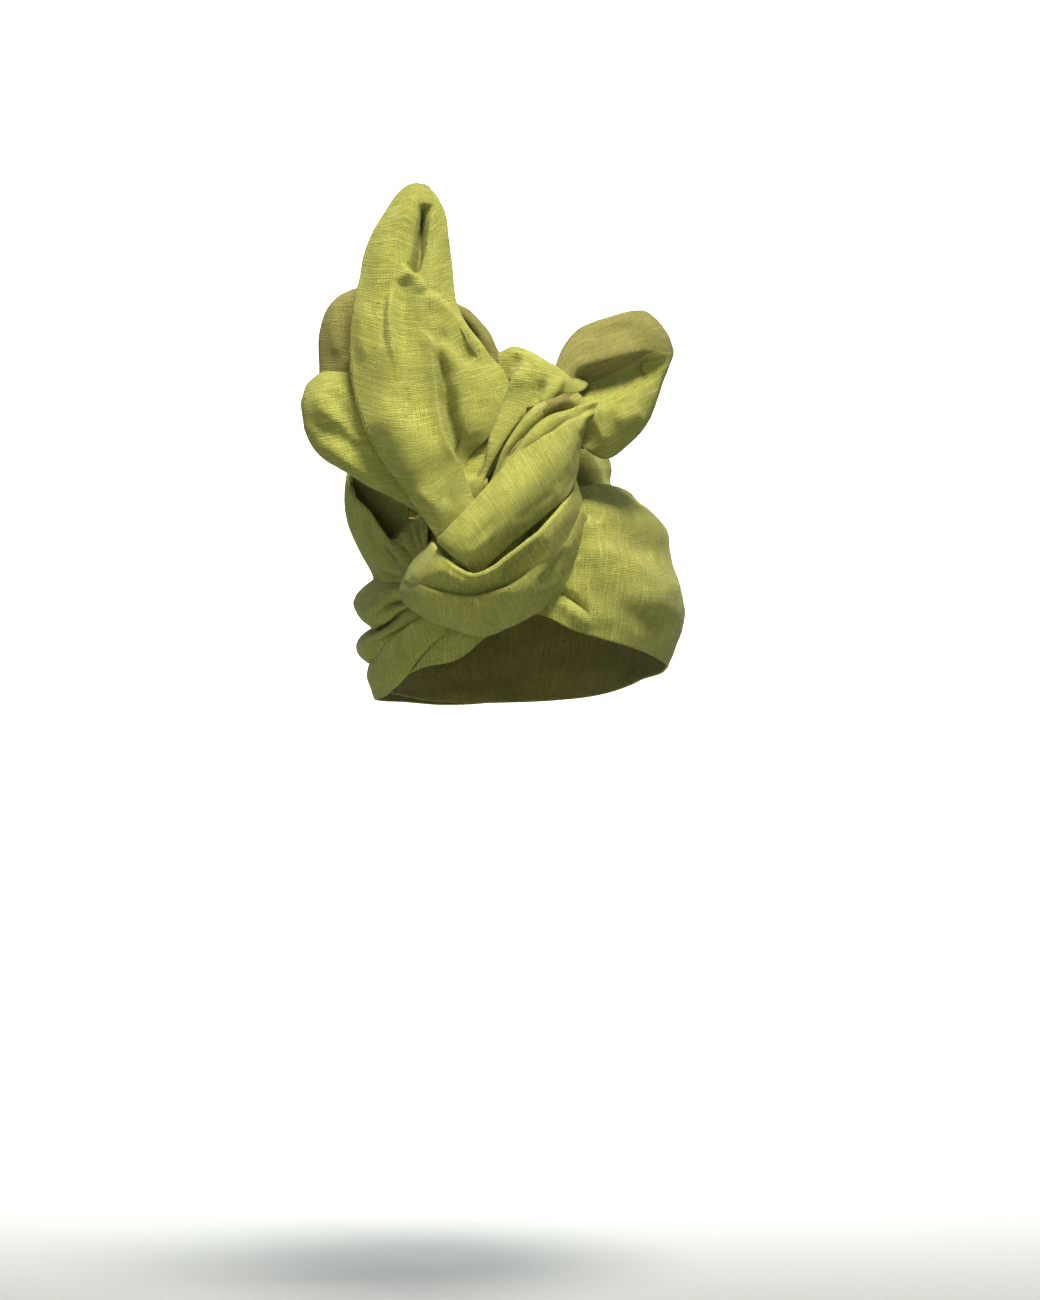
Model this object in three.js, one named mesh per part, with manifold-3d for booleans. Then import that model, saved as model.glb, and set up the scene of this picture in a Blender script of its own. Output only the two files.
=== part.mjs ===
// A turban headwrap of one long strip of linen, in the form that it keeps on a head. The middle of
// the strip crosses the nape, both halves come forward over the ears and cross in a knot on the
// forehead, and the ends stand up above it: a tall folded leaf to the wearer's right, a loop to
// the left and a small fan of gathers between them.
//
// Millimetres. X runs to the wearer's left, Y to the back of the head and Z up. The origin is the
// middle of the head's opening, at the brow.

import * as THREE from "three";
import { mergeVertices } from "three/addons/utils/BufferGeometryUtils.js";
import Module from "manifold-3d";

// The head inside the wrap, and the cloth.
const HEAD_WIDTH = 152;
const HEAD_LENGTH = 192;
const EASE = 4; // room between the head and the cloth
const CLOTH = 1.6; // one layer of linen, with the wire in its hem
const GAP = 0.4; // between two layers that lie on each other

// The band round the head.
const BAND_RISE = 98; // from the brow to the band's upper edge over the left ear
const BAND_SWELL = 10; // how far the cloth stands off where it bellies most
const CROWN_RISE = 130; // from the brow to the top of the crown
const POCKET_RISE = 110; // from the brow to the upper wrap's edge over the right ear
const POCKET_FLARE = 20; // how far the upper wrap leans out there

// The knot on the forehead.
const KNOT_SIDE = -17.5; // its middle, towards the wearer's right
const KNOT_UP = 55; // its middle, above the brow
const KNOT_WIDTH = 80;
const KNOT_HEIGHT = 69;
const KNOT_PROUD = 50; // how far it stands out from the forehead

// What stands above the knot.
const LEAF_WIDTH = 54;
const LEAF_RISE = 162;
const LOBE_WIDTH = 65;
const LOBE_RISE = 135;
const FAN_WIDTH = 54;
const FAN_RISE = 81;
const LOOP_REACH = 108;
const LOOP_HEIGHT = 81;

const LINEN = { color: 0xa3a545, roughness: 0.85, metalness: 0 };
const LINEN_SHADE = { color: 0x8c8f3c, roughness: 0.88, metalness: 0 };

const TUBE_X = HEAD_WIDTH / 2 + EASE; // half widths of the cloth tube round the head
const TUBE_Y = HEAD_LENGTH / 2 + EASE;
const LAYER = CLOTH + GAP;
const REST = CLOTH / 2 + 2 * GAP; // from a layer's face to the middle of the cloth that lies on it
const THROAT = [KNOT_SIDE - 0.14 * KNOT_WIDTH, KNOT_UP + 0.6 * KNOT_HEIGHT]; // where the ends rise

const wasm = await Module();
wasm.setup();

// Curves through tables

// A smooth curve through one column of a table whose rows stand at the places in column "at". With
// a period, the table closes on itself.
function through(rows, column, period = 0) {
  const count = rows.length;
  const knot = (i) => {
    const turn = Math.floor(i / count);
    const row = period ? rows[i - turn * count] : rows[THREE.MathUtils.clamp(i, 0, count - 1)];
    return { at: row.at + (period ? turn * period : i < 0 || i >= count ? i * 1e-6 : 0), value: row[column] };
  };
  const slope = (i) => {
    const before = knot(i - 1);
    const after = knot(i + 1);
    const span = Math.max(after.at - before.at, 1e-9);
    return (after.value - before.value) / span;
  };
  return (at) => {
    const place = period ? rows[0].at + THREE.MathUtils.euclideanModulo(at - rows[0].at, period) : at;
    let i = 0;
    while (i < (period ? count - 1 : count - 2) && knot(i + 1).at <= place) i += 1;
    const low = knot(i);
    const high = knot(i + 1);
    const span = high.at - low.at;
    const t = THREE.MathUtils.clamp((place - low.at) / span, 0, 1);
    const rise = t * t * (3 - 2 * t);
    const lean = t * (1 - t) * ((1 - t) * slope(i) - t * slope(i + 1)) * span;
    return low.value * (1 - rise) + high.value * rise + lean;
  };
}

// The same for rows that are evenly spaced from 0 to 1 and hold points in their columns.
function throughPoints(rows, column) {
  const curve = new THREE.CatmullRomCurve3(rows.map((row) => row[column]), false, "catmullrom");
  return (share) => curve.getPoint(share);
}

function evenly(rows) {
  return rows.map((row, i) => ({ at: i / (rows.length - 1), ...row }));
}

function ease(from, to, x) {
  return THREE.MathUtils.smoothstep(x, from, to);
}

// The larger of two distances, with a soft bend where they cross.
function softer(a, b) {
  return (a + b + Math.hypot(a - b, CLOTH)) / 2;
}

// Cloth solids

// The folds of one piece: each runs along it, from one place across at the root to another at the
// tip, and fades in and out between two shares of the length. A negative depth is a valley.
function foldHeight(folds, across, along) {
  let height = 0;
  for (const fold of folds) {
    const middle = THREE.MathUtils.lerp(fold.root, fold.tip, along);
    const bump = Math.exp(-(((across - middle) / fold.width) ** 2));
    const fade = ease(fold.from - 0.08, fold.from + 0.08, along) * (1 - ease(fold.to - 0.08, fold.to + 0.08, along));
    height += fold.depth * bump * fade;
  }
  return height;
}

// The unit normals of a grid of points. Rings close on themselves across.
function normalsOf(grid, ring) {
  const rows = grid.length;
  const columns = grid[0].length;
  return grid.map((row, i) =>
    row.map((_, j) => {
      const left = row[ring ? (j + columns - 1) % columns : Math.max(j - 1, 0)];
      const right = row[ring ? (j + 1) % columns : Math.min(j + 1, columns - 1)];
      const below = grid[Math.max(i - 1, 0)][j];
      const above = grid[Math.min(i + 1, rows - 1)][j];
      const across = new THREE.Vector3().subVectors(right, left);
      return across.cross(new THREE.Vector3().subVectors(above, below)).normalize();
    }),
  );
}

// A cloth wall about the grid of points that surface(across, along) gives. Across runs from -1 to
// 1 and along from 0 to 1. A ring closes on itself across, and a ring with a tip closes to a point
// at its far end. Folds are shares of foldSize. Grow makes the same wall with room round it.
function clothWall(surface, shape, grow = 0) {
  const { across, along, ring = false, tip = false, folds = [], foldSize = 1 } = shape;
  const columns = ring ? across : across + 1;
  const base = [];
  for (let i = 0; i <= along; i += 1) {
    const row = [];
    for (let j = 0; j < columns; j += 1) row.push(surface((2 * j) / across - 1, i / along));
    base.push(row);
  }
  if (tip) base.pop();
  const lift = normalsOf(base, ring);
  const grid = base.map((row, i) =>
    row.map((point, j) => {
      const height = foldHeight(folds, (2 * j) / across - 1, i / along) * foldSize;
      return point.clone().addScaledVector(lift[i][j], height);
    }),
  );
  const half = CLOTH / 2 + grow;
  return wallRound(grid, normalsOf(grid, ring), half, ring, tip ? surface(0, 1) : null);
}

// Both faces of the wall, with its edges closed by a rounded rim and a tip closed by a fan.
function wallRound(grid, normals, half, ring, tip) {
  const positions = [];
  const index = [];
  const add = (point) => positions.push(point.x, point.y, point.z) / 3 - 1;
  const face = (side) => grid.map((row, i) => row.map((p, j) => add(p.clone().addScaledVector(normals[i][j], side * half))));
  const quad = (a, b, c, d) => index.push(a, b, c, a, c, d);
  const outer = face(1);
  const inner = face(-1);
  const rows = grid.length;
  const columns = grid[0].length;
  const spans = ring ? columns : columns - 1;
  for (let i = 0; i < rows - 1; i += 1) {
    for (let j = 0; j < spans; j += 1) {
      const k = (j + 1) % columns;
      quad(outer[i][j], outer[i][k], outer[i + 1][k], outer[i + 1][j]);
      quad(inner[i][k], inner[i][j], inner[i + 1][j], inner[i + 1][k]);
    }
  }
  // The edge runs with the outer face on its left, so that its rim faces away from the cloth.
  const edges = [];
  const outward = (from, to) => new THREE.Vector3().subVectors(from, to).setLength(half);
  const edgeRow = (i, next, order) =>
    order.map((j) => [outer[i][j], add(grid[i][j].clone().add(outward(grid[i][j], grid[next][j]))), inner[i][j]]);
  const edgeColumn = (j, next, order) =>
    order.map((i) => [outer[i][j], add(grid[i][j].clone().add(outward(grid[i][j], grid[i][next]))), inner[i][j]]);
  const up = [...Array(rows).keys()];
  const along = [...Array(columns).keys()];
  if (ring) {
    edges.push([...edgeRow(0, 1, along)]);
    edges[0].push(edges[0][0]);
    if (!tip) {
      const end = edgeRow(rows - 1, rows - 2, [...along].reverse());
      edges.push([...end, end[0]]);
    }
  } else {
    const corner = (list) => list;
    edges.push(corner(edgeRow(0, 1, along)));
    edges.push(corner(edgeColumn(columns - 1, columns - 2, up)));
    edges.push(corner(edgeRow(rows - 1, rows - 2, [...along].reverse())));
    edges.push(corner(edgeColumn(0, 1, [...up].reverse())));
  }
  for (const edge of edges) {
    for (let i = 0; i < edge.length - 1; i += 1) {
      const [a, b, c] = edge[i];
      const [d, e, f] = edge[i + 1];
      quad(d, a, b, e);
      quad(e, b, c, f);
    }
  }
  if (!ring) {
    // Each corner has two rim points, one from each edge that meets there.
    for (let i = 0; i < edges.length; i += 1) {
      const end = edges[i][edges[i].length - 1];
      const start = edges[(i + 1) % edges.length][0];
      index.push(start[1], end[0], end[1], start[1], end[1], end[2]);
    }
  }
  if (tip) {
    const last = rows - 1;
    const middle = new THREE.Vector3();
    for (const point of grid[last]) middle.addScaledVector(point, 1 / columns);
    const reach = new THREE.Vector3().subVectors(tip, middle);
    const away = reach.lengthSq() > 1e-6 ? reach.setLength(half) : new THREE.Vector3(0, 0, half);
    const outerTip = add(tip.clone().add(away));
    const innerTip = add(tip.clone().sub(away));
    for (let j = 0; j < columns; j += 1) {
      const k = (j + 1) % columns;
      index.push(outer[last][j], outer[last][k], outerTip, inner[last][k], inner[last][j], innerTip);
    }
  }
  const geometry = new THREE.BufferGeometry();
  geometry.setAttribute("position", new THREE.Float32BufferAttribute(positions, 3));
  geometry.setIndex(index);
  return solidOf(geometry);
}

function solidOf(geometry) {
  for (const name of ["normal", "uv"]) if (geometry.hasAttribute(name)) geometry.deleteAttribute(name);
  const merged = mergeVertices(geometry, 1e-4);
  const mesh = new wasm.Mesh({
    numProp: 3,
    vertProperties: merged.attributes.position.array,
    triVerts: new Uint32Array(merged.index.array),
  });
  const solid = new wasm.Manifold(mesh);
  if (solid.volume() > 0) return solid;
  for (let i = 0; i < mesh.triVerts.length; i += 3) {
    [mesh.triVerts[i + 1], mesh.triVerts[i + 2]] = [mesh.triVerts[i + 2], mesh.triVerts[i + 1]];
  }
  return new wasm.Manifold(mesh);
}

function geometryOf(solid) {
  const { vertProperties, triVerts } = solid.getMesh();
  const geometry = new THREE.BufferGeometry();
  geometry.setAttribute("position", new THREE.Float32BufferAttribute(vertProperties, 3));
  geometry.setIndex(new THREE.Uint32BufferAttribute(triVerts, 1));
  geometry.computeVertexNormals();
  return geometry;
}

// What is left of a piece beside the layers that it tucks in behind. The end that they cut off is
// inside the knot or under the band, and isn't there on the real one.
function tuckedBehind(solid, tools) {
  let left = solid;
  for (const tool of tools) left = left.subtract(tool);
  const bodies = left.decompose().sort((a, b) => b.volume() - a.volume());
  return bodies[0];
}

// Places on the head and on the knot

// A point on the tube round the head: a turn from the forehead to the left, a height, and how far
// it stands off the tube.
function onTube(turn, height, off) {
  const angle = THREE.MathUtils.degToRad(turn);
  const normal = new THREE.Vector3(Math.sin(angle) / TUBE_X, -Math.cos(angle) / TUBE_Y, 0).normalize();
  return new THREE.Vector3(TUBE_X * Math.sin(angle), -TUBE_Y * Math.cos(angle), height).addScaledVector(normal, off);
}

// A point before the forehead. Forward is a share of how far the knot stands out.
function before(x, z, forward) {
  return new THREE.Vector3(x, -TUBE_Y - forward * KNOT_PROUD, z);
}

function onKnot([side, up, forward]) {
  return before(KNOT_SIDE + side * KNOT_WIDTH, KNOT_UP + up * KNOT_HEIGHT, forward);
}

function aboveThroat(width, rise) {
  return ([side, up, forward]) => before(THROAT[0] + side * width, THROAT[1] + up * rise, forward);
}

// The band

// Hem and top are heights as shares of the band's rise. The rest say how far the cloth stands off
// the head's tube from the hem to the lip, as shares of the swell.
const BAND_SECTIONS = [
  { at: -150, hem: -0.21, top: 0.88, foot: 0.0, belly: 0.3, waist: 0.2, shoulder: -0.4, lip: -1.6 },
  { at: -100, hem: -0.13, top: 0.86, foot: 0.0, belly: 0.1, waist: 0.0, shoulder: -0.8, lip: -2.2 },
  { at: -65, hem: -0.09, top: 0.84, foot: 0.0, belly: 0.1, waist: 0.0, shoulder: -0.4, lip: -0.9 },
  { at: -44, hem: 0.0, top: 0.82, foot: 0.0, belly: 0.1, waist: 0.0, shoulder: -0.3, lip: -0.6 },
  { at: -25, hem: 0.06, top: 0.8, foot: 0.0, belly: 0.1, waist: 0.0, shoulder: -0.3, lip: -0.9 },
  { at: -13, hem: 0.18, top: 0.8, foot: 0.0, belly: 0.1, waist: 0.0, shoulder: -0.4, lip: -1.5 },
  { at: 5, hem: 0.3, top: 0.84, foot: 0.0, belly: 0.2, waist: 0.1, shoulder: -0.4, lip: -1.8 },
  { at: 18, hem: 0.22, top: 0.96, foot: 0.0, belly: 0.4, waist: 0.3, shoulder: -0.2, lip: -2.0 },
  { at: 45, hem: 0.12, top: 1.0, foot: 0.0, belly: 0.8, waist: 0.4, shoulder: -0.3, lip: -2.4 },
  { at: 75, hem: 0.03, top: 1.01, foot: -0.1, belly: 1.1, waist: 0.2, shoulder: -0.5, lip: -2.5 },
  { at: 100, hem: -0.01, top: 1.0, foot: -0.1, belly: 1.1, waist: 0.0, shoulder: -0.5, lip: -2.1 },
  { at: 150, hem: -0.17, top: 0.96, foot: 0.0, belly: 0.6, waist: 0.3, shoulder: -0.4, lip: -1.6 },
];
const BAND_STATIONS = { foot: 0, belly: 0.3, waist: 0.62, shoulder: 0.85, lip: 1 };
const FULL_TURN = 360;

const bandHem = through(BAND_SECTIONS, "hem", FULL_TURN);
const bandTop = through(BAND_SECTIONS, "top", FULL_TURN);
const bandColumns = Object.entries(BAND_STATIONS).map(([name, at]) => ({
  at,
  off: through(BAND_SECTIONS, name, FULL_TURN),
}));

// How far the middle of the band's cloth stands off the tube, at a share of its height.
function bandOff(turn, share) {
  const profile = bandColumns.map(({ at, off }) => ({ at, off: off(turn) }));
  return through(profile, "off")(THREE.MathUtils.clamp(share, 0, 1)) * BAND_SWELL + CLOTH / 2;
}

function bandHeight(turn, share) {
  return THREE.MathUtils.lerp(bandHem(turn), bandTop(turn), share) * BAND_RISE;
}

function bandSurface(across, along) {
  const turn = across * 180;
  return onTube(turn, bandHeight(turn, along), bandOff(turn, along));
}

function bandShare(turn, height) {
  return (height / BAND_RISE - bandHem(turn)) / (bandTop(turn) - bandHem(turn));
}

// A point over the band's outer face, for the layers that lie on it.
function overBand(turn, height, lift) {
  return onTube(turn, height, bandOff(turn, bandShare(turn, height)) + CLOTH / 2 + lift);
}

const BAND_GRID = { across: 48, along: 7, ring: true };

function headBand(grow) {
  return clothWall(bandSurface, BAND_GRID, grow);
}

// The band is one strip round the head. It is modelled as two halves, to the wearer's right (-1)
// and left (1), which meet at the nape and under the knot.
function bandHalf(side) {
  const surface = (across, along) => bandSurface((across + side) / 2, along);
  return (grow) => clothWall(surface, { across: BAND_GRID.across / 2, along: BAND_GRID.along }, grow);
}

// The band with its inside filled, so that an end that dives into the band stops on it.
function bandBlock() {
  const filled = headBand(GAP);
  const half = CLOTH / 2;
  const plug = (across, along) => {
    const turn = across * 180;
    return onTube(turn, bandHeight(turn, along), bandOff(turn, along) - half);
  };
  const points = [];
  const index = [];
  const { across, along } = BAND_GRID;
  const add = (p) => points.push(p.x, p.y, p.z) / 3 - 1;
  const grid = [];
  for (let i = 0; i <= along; i += 1) {
    grid.push([...Array(across).keys()].map((j) => add(plug((2 * j) / across - 1, i / along))));
  }
  const foot = add(new THREE.Vector3(0, 0, 0));
  const head = add(new THREE.Vector3(0, 0, BAND_RISE * 0.9));
  for (let j = 0; j < across; j += 1) {
    const k = (j + 1) % across;
    for (let i = 0; i < along; i += 1) {
      index.push(grid[i][j], grid[i][k], grid[i + 1][k], grid[i][j], grid[i + 1][k], grid[i + 1][j]);
    }
    index.push(foot, grid[0][k], grid[0][j], head, grid[along][j], grid[along][k]);
  }
  const geometry = new THREE.BufferGeometry();
  geometry.setAttribute("position", new THREE.Float32BufferAttribute(points, 3));
  geometry.setIndex(index);
  return filled.add(solidOf(geometry));
}

// The crown, a soft cap that comes up inside the band's lip and puffs out over it. Inward is a
// share of the way from the lip to the axis, and rise runs from the lip to the crown's top.
const CROWN_SECTIONS = [
  { at: 0.25, inward: 0.06, rise: -0.06 },
  { at: 0.36, inward: 0.15, rise: 0.16 },
  { at: 0.5, inward: 0.17, rise: 0.42 },
  { at: 0.65, inward: 0.23, rise: 0.7 },
  { at: 0.8, inward: 0.45, rise: 0.91 },
  { at: 1, inward: 1, rise: 1 },
];
const CROWN_SEAT = 0.86; // the share of the band's height at which the crown's rim lies inside it
const CROWN_ROOM = 1.4; // the room between the two there, in layers
const CROWN_GATHERS = 9;
const crownInward = through(CROWN_SECTIONS, "inward");
const crownRise = through(CROWN_SECTIONS, "rise");

// A point inside the band, at a distance from the middle of its cloth.
function insideBand(turn, share, depth) {
  const step = 0.01;
  const point = bandSurface(turn / 180, share);
  const across = bandSurface((turn + 1) / 180, share).sub(point);
  const along = point.clone().sub(bandSurface(turn / 180, share - step));
  return point.addScaledVector(across.cross(along).normalize(), -depth);
}

function crownSurface(across, along) {
  const turn = across * 180;
  const share = THREE.MathUtils.lerp(CROWN_SEAT, 1, Math.min(along / 0.25, 1));
  const seat = insideBand(turn, share, CROWN_ROOM * LAYER);
  const lip = bandSurface(across, 1);
  const gather = 0.03 * Math.sin(CROWN_GATHERS * THREE.MathUtils.degToRad(turn)) * ease(0.38, 0.7, along);
  const left = 1 - crownInward(along) + gather * (1 - along);
  const dome = new THREE.Vector3(lip.x * left, lip.y * left, 0);
  dome.z = THREE.MathUtils.lerp(lip.z, CROWN_RISE, crownRise(along));
  return seat.lerp(dome, ease(0.18, 0.3, along));
}

function crown(grow) {
  return clothWall(crownSurface, { across: 36, along: 10, ring: true, tip: true }, grow);
}

// Layers that lie on the band

// Upper and lower are heights as shares of the band's rise. Over and under count the layers below
// the strip's two edges, and swell is how far its middle stands off them, as a share of the
// band's swell.
function stripOnBand(sections, across, along) {
  const read = Object.fromEntries(
    ["upper", "lower", "over", "under", "swell"].map((name) => [name, through(sections, name)]),
  );
  const first = sections[0].at;
  const last = sections[sections.length - 1].at;
  const surface = (s, t) => {
    const turn = THREE.MathUtils.lerp(first, last, t);
    const share = (s + 1) / 2;
    const height = THREE.MathUtils.lerp(read.lower(turn), read.upper(turn), share) * BAND_RISE;
    const layers = THREE.MathUtils.lerp(read.under(turn), read.over(turn), share);
    const lift = REST + layers * LAYER + read.swell(turn) * BAND_SWELL * (1 - s * s) ** 2;
    return overBand(turn, height, lift);
  };
  return (grow) => clothWall(surface, { across, along }, grow);
}

const UPPER_PLEAT = [
  { at: -190, upper: 0.34, lower: 0.26, over: 0, under: 0, swell: 0.0 },
  { at: -160, upper: 0.43, lower: 0.2, over: 0, under: 0.8, swell: 0.3 },
  { at: -125, upper: 0.48, lower: 0.212, over: 0, under: 1.2, swell: 0.75 },
  { at: -90, upper: 0.5, lower: 0.237, over: 0, under: 1.2, swell: 0.95 },
  { at: -65, upper: 0.48, lower: 0.242, over: 0, under: 1.2, swell: 0.75 },
  { at: -50, upper: 0.47, lower: 0.312, over: 0, under: 1.2, swell: 0.4 },
  { at: -36, upper: 0.46, lower: 0.36, over: 0, under: 0.6, swell: 0.1 },
];
const LOWER_PLEAT = [
  { at: -190, upper: 0.13, lower: 0.03, over: 0, under: 0, swell: 0.0 },
  { at: -160, upper: 0.19, lower: -0.05, over: 0, under: 0, swell: 0.3 },
  { at: -125, upper: 0.22, lower: -0.012, over: 0, under: 0, swell: 0.75 },
  { at: -90, upper: 0.245, lower: 0.022, over: 0, under: 0, swell: 0.95 },
  { at: -65, upper: 0.25, lower: 0.082, over: 0, under: 0, swell: 0.75 },
  { at: -50, upper: 0.32, lower: 0.2, over: 0, under: 0, swell: 0.35 },
  { at: -36, upper: 0.36, lower: 0.29, over: 0, under: 0, swell: 0.1 },
];
const BROW_STRIP = [
  { at: -190, upper: -0.1, lower: -0.16, over: 0, under: 0, swell: 0.0 },
  { at: -160, upper: -0.06, lower: -0.22, over: 0.8, under: 0, swell: 0.05 },
  { at: -125, upper: -0.004, lower: -0.21, over: 1.2, under: 0, swell: 0.15 },
  { at: -90, upper: 0.03, lower: -0.18, over: 1.2, under: 0, swell: 0.15 },
  { at: -65, upper: 0.09, lower: -0.15, over: 1.2, under: 0, swell: 0.15 },
  { at: -50, upper: 0.2, lower: -0.05, over: 1.2, under: 0, swell: 0.1 },
  { at: -36, upper: 0.29, lower: 0.13, over: 1.2, under: 0, swell: 0.05 },
];
const upperPleat = stripOnBand(UPPER_PLEAT, 6, 20);
const lowerPleat = stripOnBand(LOWER_PLEAT, 6, 20);
const browStrip = stripOnBand(BROW_STRIP, 4, 20);

// The upper wrap leaves the knot, opens into a pocket over the right ear and closes on the back of
// the band. Foot and lip are heights as shares of the pocket's rise. Grip, belly and flare say how
// far it stands off the tube, as shares of the pocket's flare.
const UPPER_WRAP = [
  { at: -216, foot: 0.3, lip: 0.6, grip: 0, belly: 0, flare: 0 },
  { at: -190, foot: 0.33, lip: 0.78, grip: 0.1, belly: 0.1, flare: -0.3 },
  { at: -160, foot: 0.36, lip: 0.95, grip: 0.26, belly: 0.35, flare: -0.2 },
  { at: -130, foot: 0.4, lip: 1.01, grip: 0.3, belly: 0.5, flare: 0.2 },
  { at: -105, foot: 0.43, lip: 1.01, grip: 0.26, belly: 0.7, flare: 0.8 },
  { at: -88, foot: 0.44, lip: 0.97, grip: 0.26, belly: 0.75, flare: 1.0 },
  { at: -70, foot: 0.43, lip: 0.72, grip: 0.3, belly: 0.6, flare: 0.8 },
  { at: -55, foot: 0.42, lip: 0.54, grip: 0.34, belly: 0.5, flare: 0.5 },
  { at: -42, foot: 0.41, lip: 0.46, grip: 0.36, belly: 0.4, flare: 0.4 },
];
const wrapRead = Object.fromEntries(
  ["foot", "lip", "grip", "belly", "flare"].map((name) => [name, through(UPPER_WRAP, name)]),
);

function upperWrapSurface(across, along) {
  const turn = THREE.MathUtils.lerp(UPPER_WRAP[0].at, UPPER_WRAP[UPPER_WRAP.length - 1].at, along);
  const share = (across + 1) / 2;
  const height = THREE.MathUtils.lerp(wrapRead.foot(turn), wrapRead.lip(turn), share) * POCKET_RISE;
  const [grip, belly, flare] = [wrapRead.grip(turn), wrapRead.belly(turn), wrapRead.flare(turn)];
  const lean = grip * (1 - share) ** 2 + 2 * belly * share * (1 - share) + flare * share ** 2;
  const resting = bandOff(turn, bandShare(turn, height)) + CLOTH / 2 + REST;
  return onTube(turn, height, softer(lean * POCKET_FLARE, resting));
}

function upperWrap(grow) {
  return clothWall(upperWrapSurface, { across: 6, along: 26 }, grow);
}

// Strips and leaves of cloth

// A sheet through sections that each give two edges and, between them, either a middle point or a
// swell towards the front as a share of how far the knot stands out.
function sheet(sections, place, shape) {
  const rows = sections.map((row) => {
    const left = place(row.left);
    const right = place(row.right);
    const middle = row.middle ? place(row.middle) : left.clone().lerp(right, 0.5);
    if (!row.middle) middle.y -= row.swell * KNOT_PROUD;
    return { left, middle, right };
  });
  const [left, middle, right] = ["left", "middle", "right"].map((name) => throughPoints(rows, name));
  const surface = (s, t) =>
    left(t)
      .multiplyScalar((s * (s - 1)) / 2)
      .addScaledVector(middle(t), 1 - s * s)
      .addScaledVector(right(t), (s * (s + 1)) / 2);
  return (grow) => clothWall(surface, { foldSize: KNOT_PROUD, ...shape }, grow);
}

// A puffed loop of cloth, hollow and open at its root, through sections that each give an upper
// and a lower edge, how far forward their middle stands, and how deep it is to the front and back.
function puff(sections, width, rise, shape) {
  const place = aboveThroat(width, rise);
  const rows = evenly(sections);
  const points = rows.map((row) => ({
    upper: place([...row.upper, row.forward]),
    lower: place([...row.lower, row.forward]),
  }));
  const [upper, lower] = ["upper", "lower"].map((name) => throughPoints(points, name));
  const [front, back] = ["front", "back"].map((name) => through(rows, name));
  const surface = (s, t) => {
    const [high, low] = [upper(t), lower(t)];
    const middle = high.clone().lerp(low, 0.5);
    const half = high.sub(low).multiplyScalar(0.5 * Math.sin(Math.PI * s));
    const deep = Math.cos(Math.PI * s);
    middle.add(half).y -= deep * (deep > 0 ? front(t) : back(t)) * KNOT_PROUD;
    return middle;
  };
  return (grow) => clothWall(surface, { ring: true, tip: true, foldSize: KNOT_PROUD, ...shape }, grow);
}

// The knot

const KNOT_CORE = { side: -0.02, up: 0.02, forward: 0.24, wide: 0.31, high: 0.48, deep: 0.32, twist: 0.05 };

// The roll of twisted cloth that the wraps go round.
function knotCore(grow) {
  const geometry = new THREE.SphereGeometry(1, 20, 10);
  const position = geometry.getAttribute("position");
  const { side, up, forward, wide, high, deep, twist } = KNOT_CORE;
  const middle = onKnot([side, up, forward]);
  for (let i = 0; i < position.count; i += 1) {
    const [x, y, z] = [position.getX(i), position.getY(i), position.getZ(i)];
    const ridge = 1 + twist * Math.sin(3 * Math.atan2(z, x) + 5 * y) * (1 - y * y);
    position.setXYZ(
      i,
      middle.x + x * ridge * (wide * KNOT_WIDTH + grow),
      middle.y - z * ridge * (deep * KNOT_PROUD + grow),
      middle.z + y * (high * KNOT_HEIGHT + grow),
    );
  }
  return solidOf(geometry);
}

// Left is each strip's upper edge and right its lower edge: side and up as shares of the knot's
// width and height, then forward.
const KNOT_TOP = [
  { left: [0.51, 1.21, 0.12], right: [0.64, 1.02, 0.06], swell: 0.05 },
  { left: [0.37, 1.13, 0.34], right: [0.59, 0.77, 0.26], swell: 0.1 },
  { left: [0.21, 0.99, 0.52], right: [0.55, 0.53, 0.34], swell: 0.14 },
  { left: [0.08, 0.83, 0.66], right: [0.37, 0.35, 0.5], swell: 0.14 },
  { left: [-0.02, 0.65, 0.76], right: [0.19, 0.19, 0.62], swell: 0.12 },
  { left: [-0.15, 0.48, 0.8], right: [0.04, 0.07, 0.66], swell: 0.1 },
  { left: [-0.27, 0.36, 0.76], right: [-0.07, -0.1, 0.62], swell: 0.1 },
  { left: [-0.35, 0.26, 0.62], right: [-0.2, -0.1, 0.52], swell: 0.08 },
  { left: [-0.4, 0.13, 0.3], right: [-0.33, -0.02, 0.26], swell: 0.04 },
];
const KNOT_MIDDLE = [
  { left: [-0.44, 0.19, -0.45], right: [-0.51, -0.08, -0.6], swell: 0.02 },
  { left: [-0.37, 0.1, 0.2], right: [-0.43, -0.19, 0.0], swell: 0.05 },
  { left: [-0.25, -0.05, 0.72], right: [-0.28, -0.27, 0.5], swell: 0.02 },
  { left: [-0.1, -0.12, 0.84], right: [-0.1, -0.32, 0.6], swell: 0.0 },
  { left: [0.07, -0.01, 0.84], right: [0.11, -0.22, 0.6], swell: 0.0 },
  { left: [0.27, 0.18, 0.66], right: [0.31, -0.05, 0.46], swell: 0.02 },
  { left: [0.44, 0.38, 0.34], right: [0.47, 0.15, 0.2], swell: 0.04 },
  { left: [0.53, 0.54, 0.0], right: [0.55, 0.35, -0.1], swell: 0.02 },
];
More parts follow.
